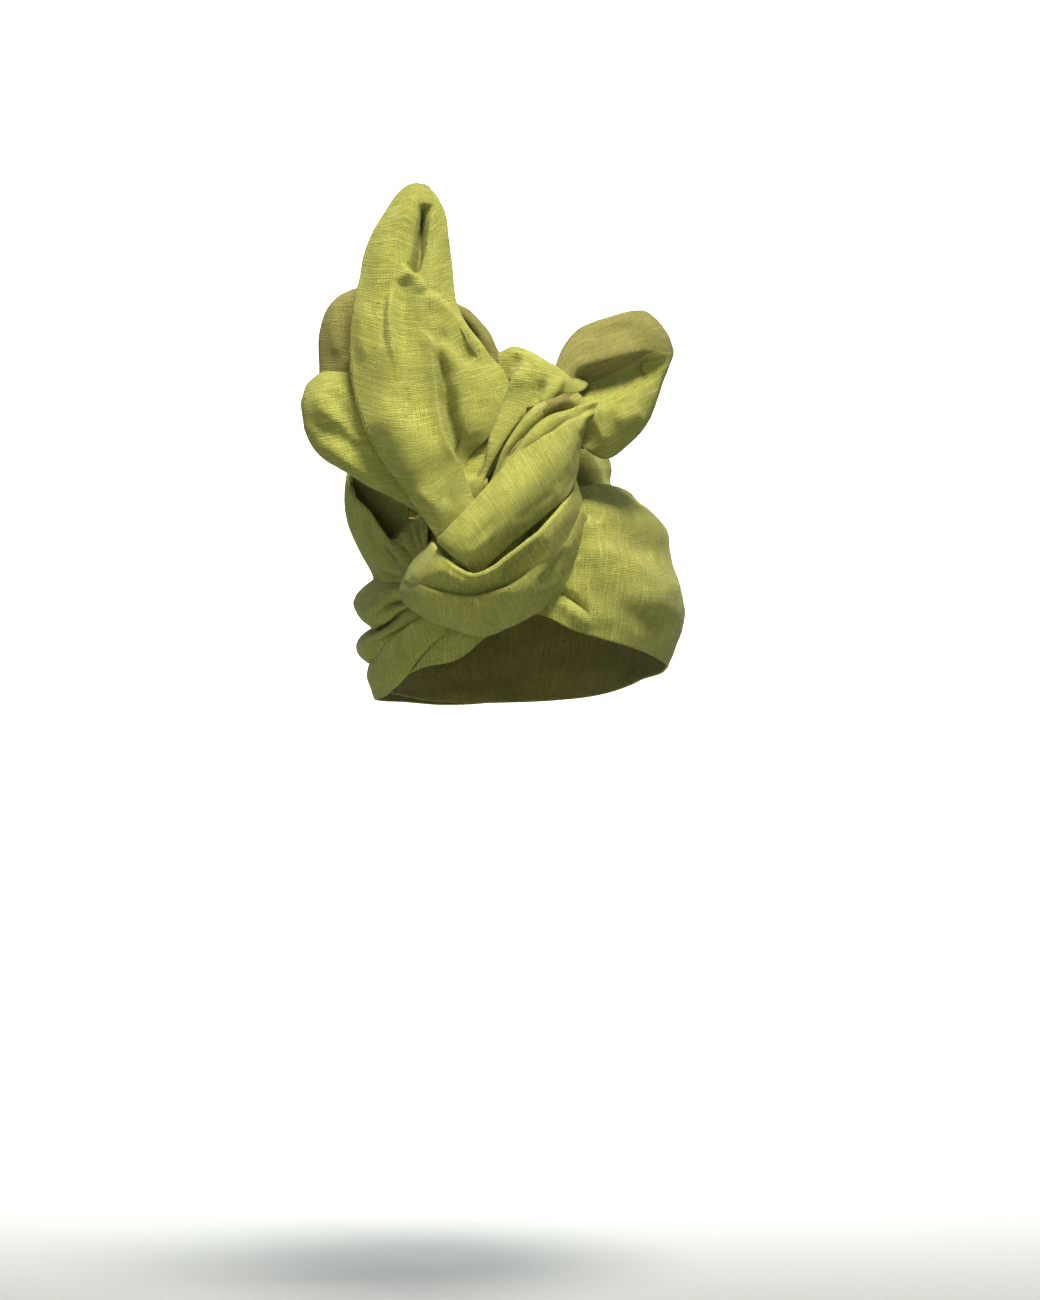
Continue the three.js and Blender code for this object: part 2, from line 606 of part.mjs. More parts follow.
const KNOT_LOWER = [
  { left: [-0.55, -0.02, -0.72], right: [-0.57, -0.21, -0.8], swell: 0.0 },
  { left: [-0.44, -0.15, -0.1], right: [-0.45, -0.36, -0.3], swell: 0.06 },
  { left: [-0.28, -0.22, 0.6], right: [-0.29, -0.53, 0.1], swell: 0.14 },
  { left: [-0.1, -0.25, 0.84], right: [-0.08, -0.59, 0.16], swell: 0.18 },
  { left: [0.09, -0.18, 0.86], right: [0.15, -0.48, 0.16], swell: 0.18 },
  { left: [0.28, -0.03, 0.7], right: [0.35, -0.36, 0.1], swell: 0.14 },
  { left: [0.42, 0.15, 0.4], right: [0.47, -0.16, 0.0], swell: 0.1 },
  { left: [0.51, 0.35, 0.08], right: [0.56, 0.1, -0.1], swell: 0.05 },
  { left: [0.55, 0.5, -0.12], right: [0.6, 0.35, -0.2], swell: 0.0 },
];
const knotTop = sheet(KNOT_TOP, onKnot, { across: 6, along: 16 });
const knotMiddle = sheet(KNOT_MIDDLE, onKnot, { across: 4, along: 18 });
const knotLower = sheet(KNOT_LOWER, onKnot, { across: 5, along: 18 });

// What stands above the knot

// The leaf's front, from its root in the knot to its tip. Left is the hem, and right the fold that
// runs down to the fan.
const LEAF_FRONT = [
  { left: [-0.15, -0.23, 0.35], right: [0.1, -0.15, 0.38], swell: 0.05 },
  { left: [-0.55, -0.05, 0.38], right: [0.06, 0.05, 0.46], swell: 0.15 },
  { left: [-0.86, 0.09, 0.24], right: [0.18, 0.17, 0.32], swell: 0.24 },
  { left: [-1.12, 0.28, 0.12], right: [0.34, 0.29, 0.23], swell: 0.3 },
  { left: [-1.2, 0.48, 0.02], right: [0.3, 0.42, 0.14], swell: 0.3 },
  { left: [-1.13, 0.65, -0.06], right: [-0.06, 0.54, 0.06], swell: 0.24 },
  { left: [-1.05, 0.79, -0.12], right: [-0.4, 0.66, -0.02], swell: 0.2 },
  { left: [-0.96, 0.87, -0.16], right: [-0.57, 0.74, -0.08], swell: 0.17 },
  { left: [-0.78, 0.97, -0.21], right: [-0.49, 0.85, -0.14], swell: 0.13 },
  { left: [-0.59, 1.02, -0.25], right: [-0.4, 0.93, -0.19], swell: 0.08 },
  { left: [-0.44, 1.01, -0.27], right: [-0.32, 0.97, -0.24], swell: 0.03 },
];
const LEAF_FOLDS = [
  { root: 0.95, tip: -1.15, depth: -0.18, width: 0.26, from: 0.12, to: 0.46 },
  { root: -1.29, tip: 0.86, depth: -0.14, width: 0.3, from: 0.4, to: 0.66 },
  { root: 0.45, tip: 0.75, depth: -0.08, width: 0.24, from: 0.42, to: 0.6 },
];
// The leaf's return: it starts at the slit beside the tip, turns round the right edge and goes
// back behind the leaf.
const LEAF_RETURN = [
  { left: [-0.02, -0.15, 0.36], middle: [0.03, -0.15, 0.32], right: [-0.02, -0.15, 0.28] },
  { left: [0.1, 0.1, 0.2], middle: [0.22, 0.1, 0.14], right: [0.06, 0.1, 0.06] },
  { left: [0.0, 0.27, 0.04], middle: [0.36, 0.28, -0.06], right: [-0.06, 0.27, -0.18] },
  { left: [-0.1, 0.43, -0.06], middle: [0.28, 0.46, -0.16], right: [-0.25, 0.44, -0.36] },
  { left: [-0.25, 0.53, -0.1], middle: [0.08, 0.57, -0.22], right: [-0.4, 0.55, -0.42] },
  { left: [-0.4, 0.62, -0.14], middle: [-0.14, 0.63, -0.26], right: [-0.55, 0.63, -0.44] },
  { left: [-0.52, 0.76, -0.18], middle: [-0.19, 0.76, -0.3], right: [-0.62, 0.76, -0.44] },
  { left: [-0.45, 0.88, -0.22], middle: [-0.23, 0.89, -0.32], right: [-0.6, 0.88, -0.43] },
  { left: [-0.36, 0.955, -0.27], middle: [-0.29, 0.96, -0.33], right: [-0.5, 0.96, -0.4] },
];
const leafFront = sheet(LEAF_FRONT, aboveThroat(LEAF_WIDTH, LEAF_RISE), {
  across: 14,
  along: 24,
  folds: LEAF_FOLDS,
});
const leafReturn = sheet(LEAF_RETURN, aboveThroat(LEAF_WIDTH, LEAF_RISE), { across: 8, along: 18 });

// The lobe behind the leaf. Upper is its edge behind the leaf and lower its outer edge.
const BACK_LOBE = [
  { upper: [-0.12, -0.22], lower: [-0.25, -0.25], forward: 0.3, front: 0.05, back: 0.05 },
  { upper: [-0.25, -0.04], lower: [-0.5, -0.06], forward: 0.02, front: 0.15, back: 0.12 },
  { upper: [-0.28, 0.05], lower: [-0.79, 0.01], forward: -0.26, front: 0.26, back: 0.2 },
  { upper: [-0.33, 0.14], lower: [-1.1, 0.09], forward: -0.38, front: 0.32, back: 0.28 },
  { upper: [-0.38, 0.24], lower: [-1.33, 0.18], forward: -0.44, front: 0.34, back: 0.32 },
  { upper: [-0.45, 0.37], lower: [-1.38, 0.34], forward: -0.46, front: 0.3, back: 0.32 },
  { upper: [-0.52, 0.49], lower: [-1.28, 0.46], forward: -0.46, front: 0.24, back: 0.28 },
  { upper: [-0.57, 0.62], lower: [-1.23, 0.61], forward: -0.46, front: 0.22, back: 0.26 },
  { upper: [-0.65, 0.73], lower: [-1.18, 0.74], forward: -0.46, front: 0.18, back: 0.2 },
  { upper: [-0.77, 0.79], lower: [-1.04, 0.8], forward: -0.46, front: 0.1, back: 0.1 },
  { upper: [-0.92, 0.81], lower: [-0.92, 0.81], forward: -0.46, front: 0, back: 0 },
];
const backLobe = puff(BACK_LOBE, LOBE_WIDTH, LOBE_RISE, { across: 18, along: 16 });

// The fan between leaf and loop, over its top fold and down behind.
const CENTRE_FAN = [
  { left: [0.04, -0.25, 0.3], right: [0.14, -0.25, 0.32], swell: 0.02 },
  { left: [0.0, 0.02, 0.34], right: [0.24, 0.04, 0.4], swell: 0.06 },
  { left: [0.08, 0.24, 0.24], right: [0.46, 0.24, 0.38], swell: 0.1 },
  { left: [0.18, 0.45, 0.18], right: [0.74, 0.45, 0.32], swell: 0.12 },
  { left: [0.28, 0.64, 0.14], right: [1.04, 0.54, 0.24], swell: 0.12 },
  { left: [0.33, 0.8, 0.12], right: [1.18, 0.62, 0.18], swell: 0.1 },
  { left: [0.32, 0.92, 0.06], middle: [0.7, 0.9, 0.14], right: [1.18, 0.69, 0.1] },
  { left: [0.34, 0.85, -0.06], middle: [0.7, 0.83, -0.03], right: [1.14, 0.64, 0.0] },
  { left: [0.3, 0.6, -0.16], middle: [0.62, 0.58, -0.18], right: [0.96, 0.42, -0.14] },
];
const FAN_FOLDS = [
  { root: 0.3, tip: 0.1, depth: -0.1, width: 0.26, from: 0.14, to: 0.6 },
  { root: -0.4, tip: -0.4, depth: 0.05, width: 0.3, from: 0.2, to: 0.6 },
];
const centreFan = sheet(CENTRE_FAN, aboveThroat(FAN_WIDTH, FAN_RISE), {
  across: 10,
  along: 16,
  folds: FAN_FOLDS,
});

const SIDE_LOOP = [
  { upper: [0.04, -0.12], lower: [0.1, -0.2], forward: 0.42, front: 0.05, back: 0.04 },
  { upper: [0.1, 0.093], lower: [0.15, 0.027], forward: 0.54, front: 0.08, back: 0.05 },
  { upper: [0.165, 0.267], lower: [0.225, 0.147], forward: 0.5, front: 0.1, back: 0.08 },
  { upper: [0.23, 0.44], lower: [0.35, 0.33], forward: 0.36, front: 0.14, back: 0.12 },
  { upper: [0.32, 0.587], lower: [0.51, 0.36], forward: 0.14, front: 0.2, back: 0.2 },
  { upper: [0.43, 0.733], lower: [0.59, 0.233], forward: -0.1, front: 0.28, back: 0.3 },
  { upper: [0.525, 1.033], lower: [0.665, 0.213], forward: -0.24, front: 0.34, back: 0.36 },
  { upper: [0.675, 1.153], lower: [0.76, 0.253], forward: -0.28, front: 0.38, back: 0.36 },
  { upper: [0.85, 1.193], lower: [0.89, 0.433], forward: -0.27, front: 0.34, back: 0.32 },
  { upper: [0.955, 1.08], lower: [0.95, 0.7], forward: -0.26, front: 0.2, back: 0.2 },
  { upper: [1.01, 0.9], lower: [1.01, 0.9], forward: -0.26, front: 0, back: 0 },
];
const LOOP_FOLDS = [{ root: 0.06, tip: 0.0, depth: -0.3, width: 0.14, from: 0.5, to: 0.9 }];
const sideLoop = puff(SIDE_LOOP, LOOP_REACH, LOOP_HEIGHT, { across: 20, along: 16, folds: LOOP_FOLDS });

// A small fold that stands inside the pocket, beside the knot.
const POCKET_FOLD = [
  { left: [-0.514, -0.104, -0.3], right: [-0.481, -0.104, -0.26], swell: 0.02 },
  { left: [-0.611, 0.091, -0.5], right: [-0.522, 0.111, -0.4], swell: 0.06 },
  { left: [-0.693, 0.267, -0.6], right: [-0.5625, 0.326, -0.46], swell: 0.1 },
  { left: [-0.725, 0.424, -0.7], right: [-0.595, 0.522, -0.54], swell: 0.08 },
];
const pocketFold = sheet(POCKET_FOLD, onKnot, { across: 4, along: 8 });

// The assembly

// Each piece lies over, or in front of, the pieces that come after it, and those are tucked in
// behind it with the gap between two layers.
const PIECES = [
  { name: "head_band_right", make: bandHalf(-1), material: LINEN },
  { name: "head_band_left", make: bandHalf(1), material: LINEN },
  { name: "crown", make: crown, material: LINEN_SHADE },
  { name: "brow_strip", make: browStrip, material: LINEN, onBand: true },
  { name: "side_pleat_upper", make: upperPleat, material: LINEN, onBand: true },
  { name: "side_pleat_lower", make: lowerPleat, material: LINEN, onBand: true },
  { name: "upper_wrap", make: upperWrap, material: LINEN, onBand: true },
  { name: "knot_core", make: knotCore, material: LINEN_SHADE, onBand: true },
  { name: "knot_lower_wrap", make: knotLower, material: LINEN, onBand: true },
  { name: "knot_middle_wrap", make: knotMiddle, material: LINEN, onBand: true },
  { name: "knot_top_wrap", make: knotTop, material: LINEN, onBand: true },
  { name: "side_loop", make: sideLoop, material: LINEN },
  { name: "leaf_front", make: leafFront, material: LINEN },
  { name: "centre_fan", make: centreFan, material: LINEN },
  { name: "leaf_return", make: leafReturn, material: LINEN },
  { name: "back_lobe", make: backLobe, material: LINEN },
  { name: "pocket_fold", make: pocketFold, material: LINEN_SHADE, onBand: true },
];

const headwrap = new THREE.Group();
headwrap.name = "turban_headwrap";
const inFront = [];
const block = bandBlock();
for (const { name, make, material, onBand } of PIECES) {
  const solid = tuckedBehind(make(0), [...(onBand ? [block] : []), ...inFront]);
  const mesh = new THREE.Mesh(geometryOf(solid), new THREE.MeshStandardMaterial(material));
  mesh.name = name;
  headwrap.add(mesh);
  inFront.push(make(GAP));
}

export default headwrap;
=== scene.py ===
# %% [markdown]
# # A linen turban headwrap
# The wrap is one long strip of slubby linen with a wire in its hem. Its middle goes round the head
# as a band, and its two halves cross in a knot on the forehead. Above the knot stand a tall folded
# leaf, a small fan of gathers and a puffed loop. The solids already have the right places and
# sizes, so this lesson replaces each of them with cloth: folds, turned edges, gathers and weave.

import math

import bpy
import numpy as np
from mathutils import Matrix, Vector, noise


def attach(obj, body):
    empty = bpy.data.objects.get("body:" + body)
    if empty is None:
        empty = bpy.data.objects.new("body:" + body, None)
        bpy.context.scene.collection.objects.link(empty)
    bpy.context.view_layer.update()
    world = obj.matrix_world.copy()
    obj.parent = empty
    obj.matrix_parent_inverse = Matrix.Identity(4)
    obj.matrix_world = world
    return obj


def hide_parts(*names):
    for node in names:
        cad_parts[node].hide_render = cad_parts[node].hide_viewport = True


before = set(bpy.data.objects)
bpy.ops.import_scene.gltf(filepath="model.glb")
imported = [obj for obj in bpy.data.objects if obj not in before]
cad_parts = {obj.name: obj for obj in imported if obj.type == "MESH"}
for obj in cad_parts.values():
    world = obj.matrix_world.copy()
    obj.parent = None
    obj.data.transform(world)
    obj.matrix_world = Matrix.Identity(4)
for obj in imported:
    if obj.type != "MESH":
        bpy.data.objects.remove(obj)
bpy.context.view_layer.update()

# %% [markdown]
# ## The picture's point of view
# Most folds are known from one picture, so it helps to be able to say where in the picture a
# point lies. The camera looks straight at the front from 2.5 m away. A point is then given by its
# place across and down the picture, and by how far forward it stands. Forward is 0 on the tube
# of cloth round the head, and 1 where the knot is proudest.

# %% The camera, and places in the picture
PICTURE_WIDTH, PICTURE_HEIGHT = 1040, 1300
CAMERA_AT = Vector((-0.0017, -2.5, 0.010))
SENSOR, LENS = 36.0, 123.6
PIXELS_PER_SLOPE = LENS / SENSOR * PICTURE_HEIGHT

HEAD_WIDTH, HEAD_LENGTH, EASE = 0.152, 0.192, 0.004
TUBE_X, TUBE_Y = HEAD_WIDTH / 2 + EASE, HEAD_LENGTH / 2 + EASE
KNOT_PROUD = 0.050

camera = bpy.data.objects.new("camera", bpy.data.cameras.new("camera"))
camera.data.sensor_width, camera.data.lens = SENSOR, LENS
camera.location = CAMERA_AT
camera.rotation_euler = (math.pi / 2, 0, 0)
bpy.context.collection.objects.link(camera)
bpy.context.scene.camera = camera


def seen(points):
    """Where in space points lie that are given as (across, down, forward)."""
    points = np.asarray(points, float)
    y = -TUBE_Y - points[..., 2] * KNOT_PROUD
    away = (y - CAMERA_AT.y) / PIXELS_PER_SLOPE
    x = CAMERA_AT.x + (points[..., 0] - PICTURE_WIDTH / 2) * away
    z = CAMERA_AT.z - (points[..., 1] - PICTURE_HEIGHT / 2) * away
    return np.stack([x, y, z], -1)


def pictured(grid):
    """The places in the picture, across and down, of points in space."""
    away = (grid[..., 1] - CAMERA_AT.y) / PIXELS_PER_SLOPE
    across = PICTURE_WIDTH / 2 + (grid[..., 0] - CAMERA_AT.x) / away
    down = PICTURE_HEIGHT / 2 - (grid[..., 2] - CAMERA_AT.z) / away
    return np.stack([across, down], -1)


pixel = seen((521, 650, 1))[0] - seen((520, 650, 1))[0]
print("one pixel on the knot is", round(float(pixel) * 1000, 3), "mm")

# %% [markdown]
# ## Cloth as a grid
# Every piece starts as a grid of points: a few rows of places with a smooth curve run through
# them, first along the piece and then across it. The grid is fine enough to hold folds as real
# shape. A sculpted mesh would look as good, but a grid can be corrected one number at a time.


# %% Smooth curves and grids
def curve_through(points, count, closed=False):
    """Count places along a smooth curve through the points, evenly spaced by point."""
    points = np.asarray(points, float)
    if closed:
        padded = np.concatenate([points[-1:], points, points[:2]])
        at = np.arange(count) / count * len(points)
    else:
        before, after = 2 * points[:1] - points[1:2], 2 * points[-1:] - points[-2:-1]
        padded = np.concatenate([before, points, after])
        at = np.linspace(0, len(points) - 1, count)
    first = np.minimum(at.astype(int), len(padded) - 4)
    t = (at - first).reshape((-1,) + (1,) * (points.ndim - 1))
    a, b, c, d = (padded[first + k] for k in range(4))
    return 0.5 * (2 * b + (c - a) * t + (2 * a - 5 * b + 4 * c - d) * t**2 + (3 * b - a - 3 * c + d) * t**3)


def loft(rows, across, along):
    """A grid of points in space through rows of places, whose forward is given in hundredths."""
    rows = curve_through(np.asarray(rows, float) / (1, 1, 100), along)
    return seen(curve_through(rows.swapaxes(0, 1), across).swapaxes(0, 1))


def smooth(start, end, x):
    """0 at start and 1 at end, with a soft bend at both."""
    t = np.clip((x - start) / (end - start), 0, 1)
    return t * t * (3 - 2 * t)


def normals_of(grid, ring=False):
    if ring:
        wide = np.concatenate([grid[:, -1:], grid, grid[:, :1]], 1)
        side = wide[:, 2:] - wide[:, :-2]
    else:
        side = np.gradient(grid, axis=1)
    normal = np.cross(side, np.gradient(grid, axis=0))
    return normal / np.maximum(np.linalg.norm(normal, axis=-1, keepdims=True), 1e-12)


# %% [markdown]
# ## Folds, gathers and crumples
# A fold runs along a path. Each point of the cloth near the path is pushed in or out along the
# cloth's own normal, most on the path and less beside it. A fold may be steep on one side and soft
# on the other, as real ones are. Paths are given where the eye sees them, in the picture.


# %% Fold tools
def beside(places, path):
    """For each place, its distance from a path, the side it lies on and its share of the way."""
    line = curve_through(path, 60)
    start, step = line[:-1], np.diff(line, axis=0)
    flat = places.reshape(-1, 2)
    best = np.full(len(flat), np.inf)
    side, share = np.zeros(len(flat)), np.zeros(len(flat))
    for i in range(len(start)):
        off = flat - start[i]
        t = np.clip(off @ step[i] / (step[i] @ step[i]), 0, 1)
        gap = np.linalg.norm(off - t[:, None] * step[i], axis=1)
        near = gap < best
        best[near] = gap[near]
        side[near] = np.sign(step[i][0] * off[near, 1] - step[i][1] * off[near, 0])
        share[near] = (i + t[near]) / len(start)
    return [a.reshape(places.shape[:-1]) for a in (best, side, share)]


def fold_height(places, path, depth, left, right, fade=(0.25, 0.25), sharp=2.0):
    """How far one fold of a depth in millimetres lifts each place. Left and right are its widths
    in pixels on the two sides of the path, as a walker on it would see them."""
    gap, side, share = beside(places, path)
    width = np.where(side < 0, left, right)
    height = depth / 1000 * np.exp(-((gap / width) ** sharp))
    if fade[0]:
        height = height * smooth(0, fade[0], share)
    if fade[1]:
        height = height * (1 - smooth(1 - fade[1], 1, share))
    return height


def folded(grid, rows, ring=False, ahead_of=None):
    """Lays a table of folds into the cloth. Ahead_of keeps them off what lies behind that depth.

    A row of the table is a path, a depth, the widths left and right of it, and at times how much
    of the path fades out at its two ends, and how square the fold's section is."""
    places = pictured(grid)
    height = sum(fold_height(places, *row) for row in rows)
    if ahead_of is not None:
        height = height * smooth(ahead_of, ahead_of - 0.008, grid[..., 1])
    return grid + normals_of(grid, ring) * height[..., None]


def crumpled(grid, size, depth, seed, ring=False, stretch=(1, 1, 1)):
    """Soft random wrinkles of about the given size."""
    shift = Vector((seed * 7.1, seed * 3.7, seed * 5.3))
    scale = Vector(stretch) / size
    height = [noise.noise(Vector(p) * scale + shift) for p in grid.reshape(-1, 3)]
    height = np.array(height).reshape(grid.shape[:-1] + (1,))
    return grid + normals_of(grid, ring) * height * depth


def creased(grid, size, depth, seed, ring=False, stretch=(1, 1, 1)):
    """Sharp little creases, as linen keeps them once it has been crushed."""
    shift = Vector((seed * 5.9, seed * 2.3, seed * 8.7))
    scale = Vector(stretch) / size
    height = []
    for p in grid.reshape(-1, 3):
        place = Vector(p) * scale + shift
        broad, fine = noise.noise(place), noise.noise(place * 2.3)
        height.append(max(0.0, noise.noise(place * 0.4) + 0.25) * (0.35 - abs(broad) - 0.4 * abs(fine)))
    height = np.array(height).reshape(grid.shape[:-1] + (1,))
    return grid + normals_of(grid, ring) * height * depth


def crushed(grid, crumple, crease, seed, **kind):
    """Crumples, then creases, each given by its size and depth."""
    return creased(crumpled(grid, *crumple, seed, **kind), *crease, seed + 1, **kind)


def rolled(grid, radius, back, edge="right"):
    """Turns one edge of the cloth under, round a small radius, so that it ends in a soft fold."""
    if edge in ("root", "tip"):
        turned = rolled(grid.swapaxes(0, 1)[:, ::-1], radius, back, {"root": "right", "tip": "left"}[edge])
        return turned[:, ::-1].swapaxes(0, 1)
    if edge == "left":
        return rolled(grid[::-1, ::-1], radius, back)[::-1, ::-1]
    last, inner = grid[:, -1], grid[:, -4]
    out = last - inner
    out /= np.maximum(np.linalg.norm(out, axis=-1, keepdims=True), 1e-12)
    up = normals_of(grid)[:, -1]
    turns = np.linspace(0, math.pi, 7)[1:]
    radius = np.broadcast_to(radius, (len(grid),))[:, None]
    arc = [last + out * radius * math.sin(a) + up * radius * (math.cos(a) - 1) for a in turns]
    flat = [arc[-1] - out * back * k / 5 for k in range(1, 6)]
    return np.concatenate([grid, np.stack(arc + flat, 1)], 1)


# %% [markdown]
# ## Shader sums as plain sums
# A material is a graph of nodes. Written out node by node it is long and hard to read, so a small
# class wraps a socket, and a sum written on it adds the Math nodes that it needs.


# %% A socket that can be used in sums
class Wire:
    def __init__(self, tree, socket):
        self.tree, self.socket = tree, socket

    def node(self, kind, settings=None, out=0, **inputs):
        """Adds a node with its settings and its sockets' values or wires."""
        made = self.tree.nodes.new("ShaderNode" + kind)
        for name, value in (settings or {}).items():
            setattr(made, name, value)
        for name, value in inputs.items():
            key = int(name[1:]) if name[1:].isdigit() else name.replace("_", " ")
            if isinstance(value, Wire):
                self.tree.links.new(value.socket, made.inputs[key])
            else:
                made.inputs[key].default_value = value
        return Wire(self.tree, made.outputs[out])

    def math(self, operation, *values):
        inputs = {f"i{k}": v for k, v in enumerate(values)}
        return self.node("Math", {"operation": operation}, **inputs)

    def __add__(self, other):
        return self.math("ADD", self, other)

    def __sub__(self, other):
        return self.math("SUBTRACT", self, other)

    def __rsub__(self, other):
        return self.math("SUBTRACT", other, self)

    def __mul__(self, other):
        return self.math("MULTIPLY", self, other)

    def __pow__(self, other):
        return self.math("POWER", self, other)

    __radd__, __rmul__ = __add__, __mul__

    def sine(self):
        return self.math("SINE", self)

    def between(self, low, high):
        """0 below low, 1 above high and smooth between."""
        soft = {"interpolation_type": "SMOOTHSTEP"}
        return self.node("MapRange", soft, Value=self, From_Min=low, From_Max=high)

    def scaled(self, x, y, z=1.0):
        return self.node("VectorMath", {"operation": "MULTIPLY"}, i0=self, i1=(x, y, z))

    def noise(self, scale, detail=2.0, rough=0.5):
        return self.node("TexNoise", Vector=self, Scale=scale, Detail=detail, Roughness=rough)

    def mixed(self, factor, other):
        """This colour, mixed with another by a factor."""
        return self.node("Mix", {"data_type": "RGBA"}, out=2, i0=factor, i6=self, i7=other)


# %% [markdown]
# ## Linen
# The cloth is a plain weave of uneven yarn. Thick stretches of yarn, called slubs, show as short
# pale or dark dashes along both directions, and here and there a dark nub. The weave has to follow
# the cloth, not the room, so every piece carries its own cloth coordinates in millimetres: the
# first runs across the strip and the second along it.

# %% The linen's colours and weave
LINEN = (0.338, 0.330, 0.061, 1)
LINEN_PALE = (0.56, 0.53, 0.17, 1)
LINEN_DEEP = (0.150, 0.170, 0.026, 1)
# Painted shade: a darker, browner copy of the linen for faces that stand in shade.
PAINTED_SHADE = (0.225, 0.200, 0.050, 1)
PAINTED_SHADE_PALE = (0.36, 0.32, 0.10, 1)
PAINTED_SHADE_DEEP = (0.125, 0.118, 0.024, 1)
NUB = (0.06, 0.055, 0.018, 1)
YARN_PITCH = 0.9  # millimetres from one yarn to the next


def linen(name, ground, deep, pale):
    """A linen whose weave follows the attribute called cloth."""
    material = bpy.data.materials.new(name)
    material.use_nodes = True
    tree = material.node_tree
    shader = tree.nodes["Principled BSDF"]
    start = Wire(tree, None)
    cloth = start.node("Attribute", {"attribute_name": "cloth"}, out=1)
    across = cloth.node("SeparateXYZ", Vector=cloth)
    along = cloth.node("SeparateXYZ", out=1, Vector=cloth)
    turn = 2 * math.pi / YARN_PITCH
    warp = (across * turn).sine()
    weft = (along * turn).sine()
    slub_weft = cloth.scaled(0.09, 0.95).noise(1.0, 3.0, 0.65)
    slub_warp = cloth.scaled(0.95, 0.09).noise(1.0, 3.0, 0.65)
    long_weft = cloth.scaled(0.02, 0.6).noise(1.0, 2.0, 0.6)
    patches = cloth.noise(0.05, 4.0, 0.6)
    fibre = cloth.noise(1.3, 3.0, 0.7)
    nubs = cloth.scaled(1.0, 1.5).noise(0.35, 1.0, 0.4).between(0.735, 0.775)
    base = start.node("RGB")
    base.socket.default_value = ground
    colour = base.mixed(patches.between(0.40, 0.66) * 0.32, deep)
    colour = colour.mixed(slub_weft.between(0.51, 0.68) * 0.44, pale)
    colour = colour.mixed(slub_warp.between(0.54, 0.70) * 0.28, pale)
    colour = colour.mixed((1 - slub_weft.between(0.32, 0.48)) * 0.46, deep)
    colour = colour.mixed((1 - slub_warp.between(0.30, 0.46)) * 0.32, deep)
    colour = colour.mixed(long_weft.between(0.54, 0.66) * 0.30, pale)
    colour = colour.mixed((1 - fibre.between(0.38, 0.56)) * 0.48, deep)
    colour = colour.mixed(nubs * 0.8, NUB)
    height = warp * 0.12 + weft * 0.12 + slub_weft * 0.9 + slub_warp * 0.6 + fibre * 0.7
    bump = start.node("Bump", Height=height, Strength=1.0, Distance=0.0008)
    tree.links.new(colour.socket, shader.inputs["Base Color"])
    tree.links.new(bump.socket, shader.inputs["Normal"])
    tree.links.new((0.97 - slub_weft * 0.12).socket, shader.inputs["Roughness"])
    shader.inputs["Sheen Weight"].default_value = 0.06
    shader.inputs["Sheen Roughness"].default_value = 0.5
    shader.inputs["Specular IOR Level"].default_value = 0.15
    return material


face_linen = linen("linen_face", LINEN, LINEN_DEEP, LINEN_PALE)
# the linen's darker, browner copy paints shade on the faces that get it
painted_shade_linen = linen("linen_painted_shade", PAINTED_SHADE, PAINTED_SHADE_DEEP, PAINTED_SHADE_PALE)
print("materials:", face_linen.name, painted_shade_linen.name)

# %% [markdown]
# ## From a grid to a piece of cloth
# The grid is the cloth's outer face. A Solidify modifier gives it its thickness on the inside, and
# there a darker, browner copy of the linen paints shade on it. Each piece takes the place of one
# solid and moves with the body.

# %% Making a piece
CLOTH = 0.0011  # the thickness that shows at an edge


def lengths(grid, axis):
    """Distances along one axis of a grid, in millimetres, from its middle.

    Each line of the grid gets the same shares of its own length, and the lengths are evened out
    from line to line. So the threads run straight on through the small wrinkles."""
    step = np.linalg.norm(np.diff(grid, axis=axis), axis=-1) * 1000
    first = np.zeros_like(np.take(step, [0], axis=axis))
    total = np.concatenate([first, np.cumsum(step, axis=axis)], axis)
    size = np.take(total, -1, axis=axis)
    share = (total / np.expand_dims(np.maximum(size, 1e-6), axis)).mean(axis=1 - axis)
    reach = len(size) // 6
    window = np.ones(2 * reach + 1) / (2 * reach + 1)
    even = np.convolve(np.pad(size, reach, mode="edge"), window, "valid")
    return np.expand_dims(share - 0.5, 1 - axis) * np.expand_dims(even, axis)


